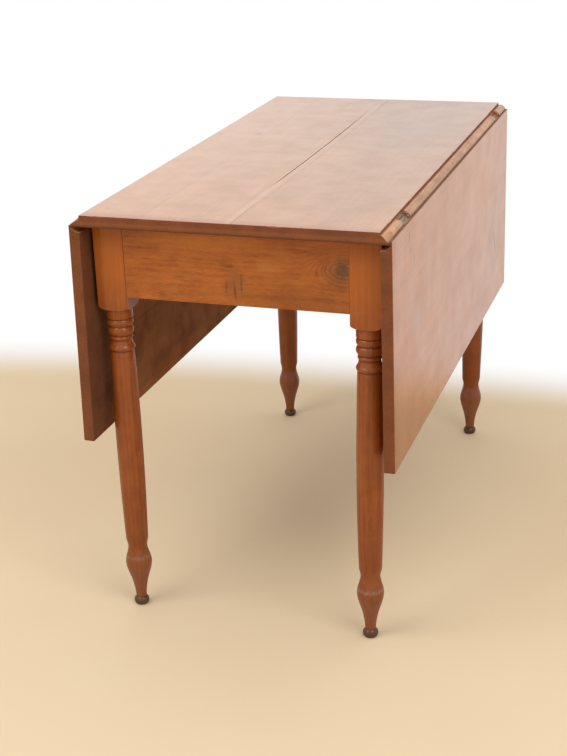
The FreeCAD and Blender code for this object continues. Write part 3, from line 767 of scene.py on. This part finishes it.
def broken_tool(y, seed):
    """A ragged lump that takes away the round down to a hinge barrel, with sloping ends."""
    half, from_step, above_pin, past, above_step = 29 * MM, 1.2 * MM, 1.5 * MM, 4 * MM, 3 * MM
    floor_share, ragged = 0.68, 1.0 * MM
    low = (edge_x + from_step, y - half, pin.z + above_pin)
    high = (pin.x + round_radius + past, y + half, step_z + above_step)
    lump = block("break", low, high)
    pick(lump, "FACE", lambda face: face.normal.z < -0.5)
    bpy.ops.transform.resize(value=(1.0, floor_share, 1.0), center_override=(0, y, 0))
    close()
    pick(lump, "EDGE", lambda edge: True)
    bpy.ops.mesh.subdivide(number_cuts=6)
    bpy.ops.transform.vertex_random(offset=ragged, uniform=0.3, normal=0.0, seed=seed)
    close()
    return lump


def corner_tool(y, worn):
    """A ball that takes the corner off the step or, where worn, slopes the end of the round off too."""
    if worn:
        radius, fineness, out = 120 * MM, 6, Vector((0.76, 0, 0.65))
        place = Vector((edge_x + 5.2 * MM, y, top_z - 6.1 * MM))
    else:
        radius, fineness, out = 10 * MM, 4, Vector((0.577, math.copysign(0.577, y), 0.577))
        place = Vector((edge_x - 0.6 * MM, y, top_z - 0.6 * MM))
    return ball(radius, place + out * radius, fineness)


def worn_round():
    """A wedge that slopes off the front end of a round below the step, and rises to nothing further back."""
    low = (edge_x + 0.8 * MM, -end_y - 1 * MM, top_z - 7.6 * MM)
    high = (edge_x + 20 * MM, -end_y + WORN_END, top_z + 2 * MM)
    slope, rise = 9 * MM, 5 * MM
    wedge = block("worn_round", low, high)
    floor = low[2] + NEAR
    half_x, half_y = (low[0] + high[0]) / 2, (low[1] + high[1]) / 2
    shift(
        wedge, "VERT",
        lambda vert: vert.co.z < floor and vert.co.x > half_x and vert.co.y < half_y,
        (0, 0, -slope),
    )
    shift(wedge, "VERT", lambda vert: vert.co.z < floor and vert.co.y > half_y, (0, 0, rise))
    return wedge


def worn_lip(lip_x):
    """A wedge that takes the front end of a leaf's lip down, and runs out further back."""
    deep, run_out = 5 * MM, 6 * MM
    low = (lip_x - 3 * MM, -end_y - 1 * MM, pin.z)
    wedge = block("worn_lip", low, (lip_x + deep, -end_y + WORN_END, top_z + 1 * MM))
    shift(wedge, "VERT", lambda vert: vert.co.x > lip_x and vert.co.y > -end_y + 5 * MM, (-run_out, 0, 0))
    return wedge


def edge_board(name, inner_x, side, sizes, seed):
    """An outer board of the top with the step and round of its rule joint, mirrored where it is the left."""
    draw = random.Random(seed)
    step_x = edge_x + sizes.step_out
    slope = round_radius * math.sqrt(0.5)
    under_x = pin.x + math.sqrt(round_radius ** 2 - (pin.z - under_z) ** 2)
    foot = (step_x, pin.z + math.sqrt(round_radius ** 2 - (pin.x - step_x) ** 2))
    ease = sizes.arris * 0.5
    corner = ease * (1 - math.sqrt(0.5))
    outline = [(inner_x, under_z), (under_x, under_z)]
    outline += arc_points(outline[-1], (pin.x + slope, pin.z + slope), foot, 18)
    outline.append((step_x, top_z - ease))
    outline += arc_points(outline[-1], (step_x - corner, top_z - corner), (step_x - ease, top_z), 3)
    outline += [(inner_x + sizes.seam, top_z), (inner_x, top_z - sizes.seam)]
    board = drawn_out(name, [(x, -end_y, z) for x, z in outline], (0, 2 * end_y, 0))

    def at_end(edge):
        place = middle(edge)
        level = place.z > top_z - NEAR or place.z < under_z + NEAR
        return level and abs(place.y) > end_y - NEAR and edge.calc_length() > 10 * MM

    round_edges(board, sizes.end_arris, 3, at_end)
    side_word = "right" if side > 0 else "left"
    for end in ENDS:
        node = "hinge_plate_top_" + side_word + "_" + end
        for tool in plate_gain(node):
            carve(board, [tool])
        if side > 0:
            low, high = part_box(node)
            carve(board, [broken_tool((low.y + high.y) / 2, seed)])
    tools = []
    for y in (-end_y, end_y):
        carve(board, [corner_tool(y, side > 0 and y < 0)])
        outward = (0, math.copysign(1, y), 1)
        tools += scoop_tools((inner_x, y, top_z), (edge_x - 6 * MM, y, top_z), outward, sizes, draw)
    tools += scoop_tools((edge_x, -end_y, top_z), (edge_x, end_y, top_z), (1, 0, 1), sizes, draw)
    carve(board, tools)
    if side < 0:
        carve(board, [worn_round()])
        mirror_across(board)
    return board


def plain_board(name, low, high, sizes, seed):
    """An inner board of the top, square on all sides."""
    draw = random.Random(seed)
    board = block(name, low, high)

    def at_end(edge):
        return abs(run_of(edge).x) > ALONG and abs(middle(edge).y) > end_y - NEAR

    def along_top(edge):
        return abs(run_of(edge).y) > ALONG and middle(edge).z > top_z - NEAR

    round_edges(board, sizes.end_arris, 3, at_end)
    round_edges(board, sizes.seam, 2, along_top)
    tools = []
    for y in (-end_y, end_y):
        outward = (0, math.copysign(1, y), 1)
        tools += scoop_tools((low.x, y, top_z), (high.x, y, top_z), outward, sizes, draw)
    if tools:
        carve(board, tools)
    return board


def open_seam_tool(x, width):
    """A long thin wedge that leaves an open seam, closing towards both ends."""
    floor, rise = top_z - 5 * MM, 8 * MM
    outline = ((-0.1, -0.6), (1.0, -0.4), (1.0, 0.4), (0.5, 0.6), (-0.1, 0.8))
    points = [(x + across * width, along * end_y, floor) for across, along in outline]
    return drawn_out("open_seam", points, (0, 0, rise))


def bend(board, low_x, high_x, bow):
    """Bows the part of a board between two places across the top: back at its ends and out in the middle."""
    stations = [n / 5 - 1 for n in range(11)]
    # Share of the bow that lies out in the middle, and the stretch at each end that moves whole
    out_share, whole = 0.7, 9 * MM
    for share in stations[1:-1]:
        pick(board, "FACE")
        bpy.ops.mesh.bisect(plane_co=(0, share * end_y, 0), plane_no=(0, 1, 0))
        close()
    for share in stations:
        reach = whole if abs(share) == 1 else NEAR
        shift(
            board, "VERT",
            lambda vert: abs(vert.co.y - share * end_y) < reach and low_x < vert.co.x < high_x,
            (bow * (out_share - share * share), 0, 0),
        )


BOARD_LOOKS = ("top", "end", "bare", "joint", "step", "break")
LEAF_LOOKS = ("leaf", "end", "bare", "joint", "step")


def board_face(face):
    """Finish of a face of the top, by its place and the way it faces."""
    x, z = abs(face.center.x), face.center.z
    from_end = end_y - abs(face.center.y)
    rubbed_corner = x > edge_x - 6 * MM and from_end < 3 * MM and abs(face.normal.y) > 0.2
    if abs(face.normal.y) > END_ON or rubbed_corner:
        return "end"
    if face.normal.z < -0.3:
        return "bare"
    above_round = x > edge_x - 0.1 * MM and z > step_z - 0.1 * MM
    in_seam = x < edge_x - 20 * MM
    if abs(face.normal.x) > ALONG and (above_round or in_seam):
        return "step"
    if x < edge_x + 1 * MM or z > (top_z + step_z) / 2:
        return "top"
    if math.hypot(x - pin.x, z - pin.z) > round_radius - 0.3 * MM:
        return "joint"
    if from_end > WORN_END:
        return "break"
    return "end" if face.center.x < 0 else "joint"


class TABLE_OT_top(bpy.types.Operator):
    """Models the four boards of the fixed top, with the steps and rounds of the rule joints"""

    bl_idname = "table.top"
    bl_label = "Top boards"

    def execute(self, context):
        sizes = context.scene.table_sizes
        made = {
            "top_board_right": edge_board("cherry_top_right", strip_high.x, 1, sizes, 11),
            "top_board_left": edge_board("cherry_top_left", -left_high.x, -1, sizes, 12),
        }
        middle_low, middle_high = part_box("top_board_middle")
        made["top_board_middle"] = plain_board("cherry_top_middle", middle_low, middle_high, sizes, 13)
        strip = plain_board("cherry_top_strip", strip_low, strip_high, sizes, 14)
        made["top_seam_strip"] = strip
        wedge = open_seam_tool(strip_low.x, sizes.open_seam)
        beside = 2 * MM
        for piece, low_x, high_x in (
            (made["top_board_middle"], strip_low.x, strip_low.x),
            (strip, strip_low.x, strip_high.x),
            (wedge, strip_low.x, strip_high.x),
            (made["top_board_right"], strip_high.x, strip_high.x),
        ):
            bend(piece, low_x - beside, high_x + beside, sizes.bow)
        carve(strip, [wedge])
        for node, board in made.items():
            dress(board, BOARD_LOOKS, board_face)
            smooth(board)
            stand_for(board, node, "frame")
        return {"FINISHED"}


def leaf_board(name, side, sizes, seed):
    """A leaf drawn level on the right, then hung from its pins and mirrored if need be."""
    draw = random.Random(seed)
    hollow = round_radius + sizes.joint_gap
    low = (edge_x + sizes.joint_gap, -end_y, under_z)
    # Raised, its face lies a hair below the top's
    face_z = top_z - 0.03 * MM
    outer = pin.x + sizes.leaf_reach
    leaf = block(name, low, (outer, end_y, face_z))

    def outer_edge(edge):
        at_reach = middle(edge).x > outer - NEAR
        at_end = abs(middle(edge).y) > end_y - NEAR and abs(run_of(edge).x) > ALONG
        return at_reach or at_end

    def lip_edge(edge):
        place = middle(edge)
        return place.x < low[0] + NEAR and place.z > face_z - NEAR and abs(run_of(edge).y) > ALONG

    round_edges(leaf, sizes.arris, 3, outer_edge)
    round_edges(leaf, sizes.arris * 0.6, 2, lip_edge)
    past, plate_run = 20 * MM, 50 * MM
    carve(leaf, [rod(hollow, 2 * end_y + past, (pin.x, 0, pin.z))])
    side_word = "right" if side > 0 else "left"
    for end in ENDS:
        low_plate, high_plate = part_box("hinge_plate_top_" + side_word + "_" + end)
        gain_low = (pin.x, low_plate.y, under_z - 1 * MM)
        gain_high = (pin.x + plate_run, high_plate.y, under_z + PLATE_DEEP)
        carve(leaf, [block("gain", gain_low, gain_high)])
    tools = []
    for z, up in ((top_z, 1), (under_z, -1)):
        tools += scoop_tools((outer, -end_y, z), (outer, end_y, z), (1, 0, up), sizes, draw)
        for y in (-end_y, end_y):
            outward = (0, math.copysign(1, y), up)
            tools += scoop_tools((edge_x + 30 * MM, y, z), (outer - 10 * MM, y, z), outward, sizes, draw)
    carve(leaf, tools)
    if side < 0:
        carve(leaf, [worn_lip(low[0])])
    swing = Matrix.Rotation(leaf_swing, 4, "Y")
    leaf.matrix_world = Matrix.Translation(pin) @ swing @ Matrix.Translation(-pin)
    settle(leaf)
    if side < 0:
        mirror_across(leaf)
    return leaf


def leaf_face(side):
    """Chooses the finish of each face of a hanging leaf, by its place and the way it faces."""
    lip_z, hollow_z = pin.z - 5 * MM, pin.z - 13 * MM

    def choose(face):
        if abs(face.normal.y) > END_ON:
            return "end"
        # The lip's top takes the dark step finish: painted shade in the joint's gap
        if face.center.z > lip_z and face.normal.z > ALONG:
            return "step"
        if face.center.z > hollow_z and face.normal.z > 0.05:
            return "joint"
        return "bare" if face.normal.x * side < -0.4 else "leaf"

    return choose


class TABLE_OT_leaves(bpy.types.Operator):
    """Models the two hanging leaves, each hollowed to fit round the top's edge"""

    bl_idname = "table.leaves"
    bl_label = "Leaves"

    def execute(self, context):
        sizes = context.scene.table_sizes
        for word, side in SIDES.items():
            leaf = leaf_board("cherry_leaf_" + word, side, sizes, 20 + side)
            dress(leaf, LEAF_LOOKS, leaf_face(side))
            smooth(leaf)
            stand_for(leaf, "leaf_" + word, word + "_leaf")
        return {"FINISHED"}


def arc_points(start, mid, end, count):
    """Points of the circle through three (radius, height) places, after the first."""
    (ax, ay), (bx, by), (cx, cy) = start, mid, end
    d = 2 * (ax * (by - cy) + bx * (cy - ay) + cx * (ay - by))
    a2, b2, c2 = ax * ax + ay * ay, bx * bx + by * by, cx * cx + cy * cy
    ux = (a2 * (by - cy) + b2 * (cy - ay) + c2 * (ay - by)) / d
    uy = (a2 * (cx - bx) + b2 * (ax - cx) + c2 * (bx - ax)) / d
    first = math.atan2(ay - uy, ax - ux)
    sweep = math.remainder(math.atan2(cy - uy, cx - ux) - first, 2 * math.pi)
    radius = math.hypot(ax - ux, ay - uy)
    turns = [first + sweep * n / count for n in range(1, count + 1)]
    return [(ux + radius * math.cos(t), uy + radius * math.sin(t)) for t in turns]


def flow_points(start, end, start_slope, end_slope, count):
    """Points of a smooth run between two (radius, height) places with given changes of radius by height."""
    points = []
    drop = end[1] - start[1]
    for n in range(1, count + 1):
        t = n / count
        rise = 3 * t * t - 2 * t ** 3
        lean_in = (t ** 3 - 2 * t * t + t) * drop * start_slope
        lean_out = (t ** 3 - t * t) * drop * end_slope
        points.append((start[0] + (end[0] - start[0]) * rise + lean_in + lean_out, start[1] + drop * t))
    return points


def leg_profile(post_bottom):
    """Radius and height of the turning, in millimetres, from inside the post down to the sole."""
    top = post_bottom / MM
    points = [(0.0, top + 6), (22.5, top + 6), (22.5, top - 17.3), (20.0, top - 18.8)]
    # Collar: two beads, a waist with a thin ring, a hollow and a lower bead
    points += arc_points(points[-1], (22.7, top - 24.9), (20.0, top - 31), 10)
    points.append((20.0, top - 32.5))
    points += arc_points(points[-1], (22.7, top - 39.2), (20.0, top - 46), 10)
    points.append((18.4, top - 49))
    points += arc_points(points[-1], (20.0, top - 52), (18.4, top - 55), 8)
    points += arc_points(points[-1], (18.9, top - 60.5), (21.2, top - 66), 8)
    points += arc_points(points[-1], (22.7, top - 70.2), (20.2, top - 74.5), 8)
    points += [(20.2, top - 76), (20.7, top - 77.5)]
    # Swelling shaft, throat, bulb, calf and ball foot
    points += arc_points(points[-1], (23.0, 315), (19.9, 133), 22)
    points += flow_points((19.9, 133), (17.3, 119), 0.2, 0.0, 5)
    points += flow_points((17.3, 119), (23.6, 87), 0.0, 0.0, 12)
    points += flow_points((23.6, 87), (14.0, 47), 0.0, 0.22, 12)
    points += flow_points((14.0, 47), (9.7, 15), 0.22, 0.0, 8)
    points += arc_points(points[-1], (13.8, 7.2), (10.3, 0), 10)
    points.append((0.0, 0.0))
    return [(radius * MM, height * MM) for radius, height in points]


def turned(name, stations, steps):
    """Spins an outline of (radius, height) stations round the upright axis."""
    piece = drawn(name, [(radius, 0, height) for radius, height in stations])
    bpy.ops.mesh.spin(steps=steps, angle=2 * math.pi, center=(0, 0, 0), axis=(0, 0, 1))
    close()
    tidy_mesh(piece)
    return piece


def plain_leg(sizes):
    """One leg at the origin: square post with a turned shoulder, joined to the turning."""
    bottom = under_z - sizes.post_length
    reach = post_half * math.sqrt(2)
    post = block("post", (-post_half, -post_half, bottom), (post_half, post_half, under_z))
    post_arris, past = 1.4 * MM, 1 * MM
    round_edges(post, post_arris, 3, lambda edge: abs(run_of(edge).z) > ALONG)
    edge = (post_half - 1 * MM, bottom)
    bulge = (reach - edge[0]) * math.sqrt(0.5)
    crown = (edge[0] + bulge, bottom + sizes.shoulder * (1 - math.sqrt(0.5)))
    outline = [(0.0, bottom), edge]
    outline += arc_points(edge, crown, (reach, bottom + sizes.shoulder), 8)
    outline += [(reach + past, under_z + past), (0.0, under_z + past)]
    carve(post, [turned("shoulder", outline, sizes.lathe_steps)], "INTERSECT")
    turning = turned("turning", leg_profile(bottom), sizes.lathe_steps)
    carve(post, [turning], "UNION")
    tidy_mesh(post)
    return post


class TABLE_OT_legs(bpy.types.Operator):
    """Turns one leg, and stands a copy with its own wear at each corner"""

    bl_idname = "table.legs"
    bl_label = "Legs"

    def execute(self, context):
        sizes = context.scene.table_sizes
        pattern = plain_leg(sizes)
        uneven = bpy.data.textures.new("turning_wear", "CLOUDS")
        uneven.noise_scale = 35 * MM
        uneven.noise_depth = 2
        for end, side_y in ENDS.items():
            for word, side_x in SIDES.items():
                leg = copy_of(pattern, "cherry_leg_" + end + "_" + word)
                leg.location = (leg_x * side_x, leg_y * side_y, 0)
                settle(leg)
                rub = leg.modifiers.new("wear", "DISPLACE")
                rub.texture = uneven
                rub.texture_coords = "LOCAL"
                rub.strength = sizes.leg_wear
                rub.mid_level = 1.0
                bpy.ops.object.modifier_apply(modifier=rub.name)
                dress(leg, ("leg",))
                bpy.ops.object.shade_smooth_by_angle(angle=LEG_CURVE)
                stand_for(leg, "leg_" + end + "_" + word, "frame")
        bpy.data.objects.remove(pattern)
        return {"FINISHED"}


class TABLE_OT_aprons(bpy.types.Operator):
    """Eases and finishes the end aprons, the side rails and the leaf supports"""

    bl_idname = "table.aprons"
    bl_label = "Aprons, rails and leaf supports"

    def execute(self, context):
        width = context.scene.table_sizes.eased
        for node in frame["nodes"]:
            if node.startswith("end_apron"):
                eased(node, width, "frame", "cherry_apron", "apron")
            elif node.startswith(("side_rail", "fly_b")):
                eased(node, width, "frame", "inner_hardwood", "inner")
        return {"FINISHED"}


class TABLE_OT_hinges(bpy.types.Operator):
    """Eases and finishes the hinges, and finishes the pins and screws"""

    bl_idname = "table.hinges"
    bl_label = "Hinges and screws"

    def execute(self, context):
        width = context.scene.table_sizes.eased / 4
        for name, node in frame["nodes"].items():
            if "screws" in name:
                dress(node, ("steel",))
            elif name.startswith(("hinge_pin", "fly_pin")):
                dress(node, ("iron",))
            elif name.startswith("hinge_plate"):
                word = "left" if "_left_" in name else "right"
                body = word + "_leaf" if name.startswith("hinge_plate_leaf") else "frame"
                eased(name, width, body, "hinge_iron", "iron")
        return {"FINISHED"}


# Stage, light and camera

# The painted part of the floor is an oval round the table; past it the floor shows white
PAINTED_MIDDLE, PAINTED_REACH = (0.2, -2.3, 0.0), (4.5, 3.0, 1.0)
FLOOR_WIDE, WHITE = 60.0, (1.0, 1.0, 1.0, 1.0)
# Light from all round, and one soft lamp on each side of the viewer: degrees from the front, and upwards
ALL_ROUND = 0.79
LAMPS = {"lamp_left": -38, "lamp_right": 45}
LAMP_RISE, LAMP_FAR, LAMP_POWER, LAMP_SIZE = 42, 3.0, 22.0, (1.6, 1.2)
LAMP_AIM = Vector((0.0, 0.0, 0.45))
# The photograph's view: image height, middle, focal length and the place straight ahead, all in pixels
IMAGE_HEIGHT, IMAGE_MIDDLE = 756, (283.5, 378.0)
FOCAL, AHEAD_AT = 1411.9, (265.64, 440.03)
CAMERA_PLACE = (0.7424, -2.4868, 1.3074)
CAMERA_TURN, CAMERA_DIP, CAMERA_ROLL = (math.radians(angle) for angle in (-19.17, 23.94, 2.03))


def floor_material(tints):
    """Matt painted floor: faintly uneven near the table, and plain white to the eye further out."""
    material, put = new_material("matt_painted_floor")
    place = put("TexCoord", out="Object")
    cloud = put("TexNoise", {"Vector": place, "Scale": 3.0, "Detail": 2.0})
    share = put("MapRange", (cloud, 0.3, 0.7, 0.0, 0.25))
    over = {0: share, 6: opaque(tints.floor), 7: opaque(linear("#dfc49c"))}
    tone = put("Mix", over, data_type="RGBA", out=2)
    paint = put("BsdfPrincipled", {"Base Color": tone, "Roughness": 0.7, "Specular IOR Level": 0.2})
    white = put("Emission", {"Color": WHITE, "Strength": 1.0})
    around = {"Vector": place, "Location": PAINTED_MIDDLE, "Scale": PAINTED_REACH}
    oval = put("Mapping", around, vector_type="TEXTURE")
    far = put("VectorMath", (oval,), operation="LENGTH", out="Value")
    fade = put("MapRange", (far, 0.97, 1.07, 0.0, 1.0), interpolation_type="SMOOTHSTEP")
    share = put("Math", (fade, seen_rays(put)), operation="MULTIPLY")
    mixed = put("MixShader", (share, paint, white))
    put("OutputMaterial", {"Surface": mixed}, None)
    return material


def seen_rays(put):
    """1 for rays that show the background: straight from the camera, or mirrored or bent on the way."""
    path = put("LightPath", out=None)
    shown = path["Is Camera Ray"]
    for other in ("Is Glossy Ray", "Is Transmission Ray"):
        shown = put("Math", (shown, path[other]), operation="MAXIMUM")
    return shown


class TABLE_OT_stage(bpy.types.Operator):
    """Sets the plain floor, the soft studio light and the camera"""

    bl_idname = "table.stage"
    bl_label = "Stage, light and camera"

    def execute(self, context):
        scene = context.scene
        bpy.ops.mesh.primitive_plane_add(size=FLOOR_WIDE, location=(0, 0, 0))
        floor = bpy.context.object
        floor.name = "stage_floor"
        dress(floor, ("floor",))
        world = bpy.data.worlds.new("studio")
        scene.world = world
        world.use_nodes = True
        world.node_tree.nodes.clear()
        put = partial(put_node, world.node_tree)
        soft = put("Background", {"Color": WHITE, "Strength": ALL_ROUND})
        white = put("Background", {"Color": WHITE, "Strength": 1.0})
        mixed = put("MixShader", (seen_rays(put), soft, white))
        put("OutputWorld", {"Surface": mixed}, None)
        rise = math.radians(LAMP_RISE)
        for name, bearing in LAMPS.items():
            turn = math.radians(bearing)
            way = Vector((math.sin(turn) * math.cos(rise), -math.cos(turn) * math.cos(rise), math.sin(rise)))
            bpy.ops.object.light_add(type="AREA", location=LAMP_AIM + way * LAMP_FAR)
            lamp = bpy.context.object
            lamp.name = name
            lamp.data.shape = "RECTANGLE"
            lamp.data.size, lamp.data.size_y = LAMP_SIZE
            lamp.data.energy = LAMP_POWER
            lamp.rotation_mode = "QUATERNION"
            lamp.rotation_quaternion = (-way).to_track_quat("-Z", "Y")
        make_camera(scene)
        scene.view_settings.view_transform = "Standard"
        return {"FINISHED"}


def make_camera(scene):
    """The camera at the photograph's viewing angle; its image is 567 by 756."""
    turn, dip, roll = CAMERA_TURN, CAMERA_DIP, CAMERA_ROLL
    ahead = Vector((math.sin(turn) * math.cos(dip), math.cos(turn) * math.cos(dip), -math.sin(dip)))
    right = Vector((math.cos(turn), -math.sin(turn), 0.0))
    down = ahead.cross(right)
    across = right * math.cos(roll) + down * math.sin(roll)
    below = down * math.cos(roll) - right * math.sin(roll)
    data = bpy.data.cameras.new("camera")
    data.sensor_width = 36.0
    data.lens = FOCAL * data.sensor_width / IMAGE_HEIGHT
    data.shift_x = (IMAGE_MIDDLE[0] - AHEAD_AT[0]) / IMAGE_HEIGHT
    data.shift_y = (AHEAD_AT[1] - IMAGE_MIDDLE[1]) / IMAGE_HEIGHT
    camera = bpy.data.objects.new("camera", data)
    scene.collection.objects.link(camera)
    turned_to = Matrix((across, -below, -ahead)).transposed().to_4x4()
    camera.matrix_world = Matrix.Translation(CAMERA_PLACE) @ turned_to
    scene.camera = camera


class TABLE_PT_pieces(bpy.types.Panel):
    """Lists the table's pieces, sizes and colours in the sidebar"""

    bl_idname = "TABLE_PT_pieces"
    bl_label = "Drop-leaf table"
    bl_space_type = "VIEW_3D"
    bl_region_type = "UI"
    bl_category = "Table"

    def draw(self, context):
        for operator in OPERATORS:
            self.layout.operator(operator.bl_idname)
        for group in (context.scene.table_sizes, context.scene.table_colours):
            for name in group.__annotations__:
                self.layout.prop(group, name)


OPERATORS = (TABLE_OT_top, TABLE_OT_leaves, TABLE_OT_legs, TABLE_OT_aprons, TABLE_OT_hinges, TABLE_OT_stage)
CLASSES = (TableSizes, TableColours) + OPERATORS + (TABLE_PT_pieces,)
FINISH = {}


def register():
    """Adds the table's classes and settings to Blender."""
    for each in CLASSES:
        bpy.utils.register_class(each)
    bpy.types.Scene.table_sizes = PointerProperty(type=TableSizes)
    bpy.types.Scene.table_colours = PointerProperty(type=TableColours)


def unregister():
    """Takes them out again."""
    del bpy.types.Scene.table_colours
    del bpy.types.Scene.table_sizes
    for each in reversed(CLASSES):
        bpy.utils.unregister_class(each)


def main():
    """Models the whole table on its stage."""
    register()
    FINISH.update(finishes())
    bpy.ops.table.top()
    bpy.ops.table.leaves()
    bpy.ops.table.legs()
    bpy.ops.table.aprons()
    bpy.ops.table.hinges()
    bpy.ops.table.stage()


if __name__ == "__main__":
    main()
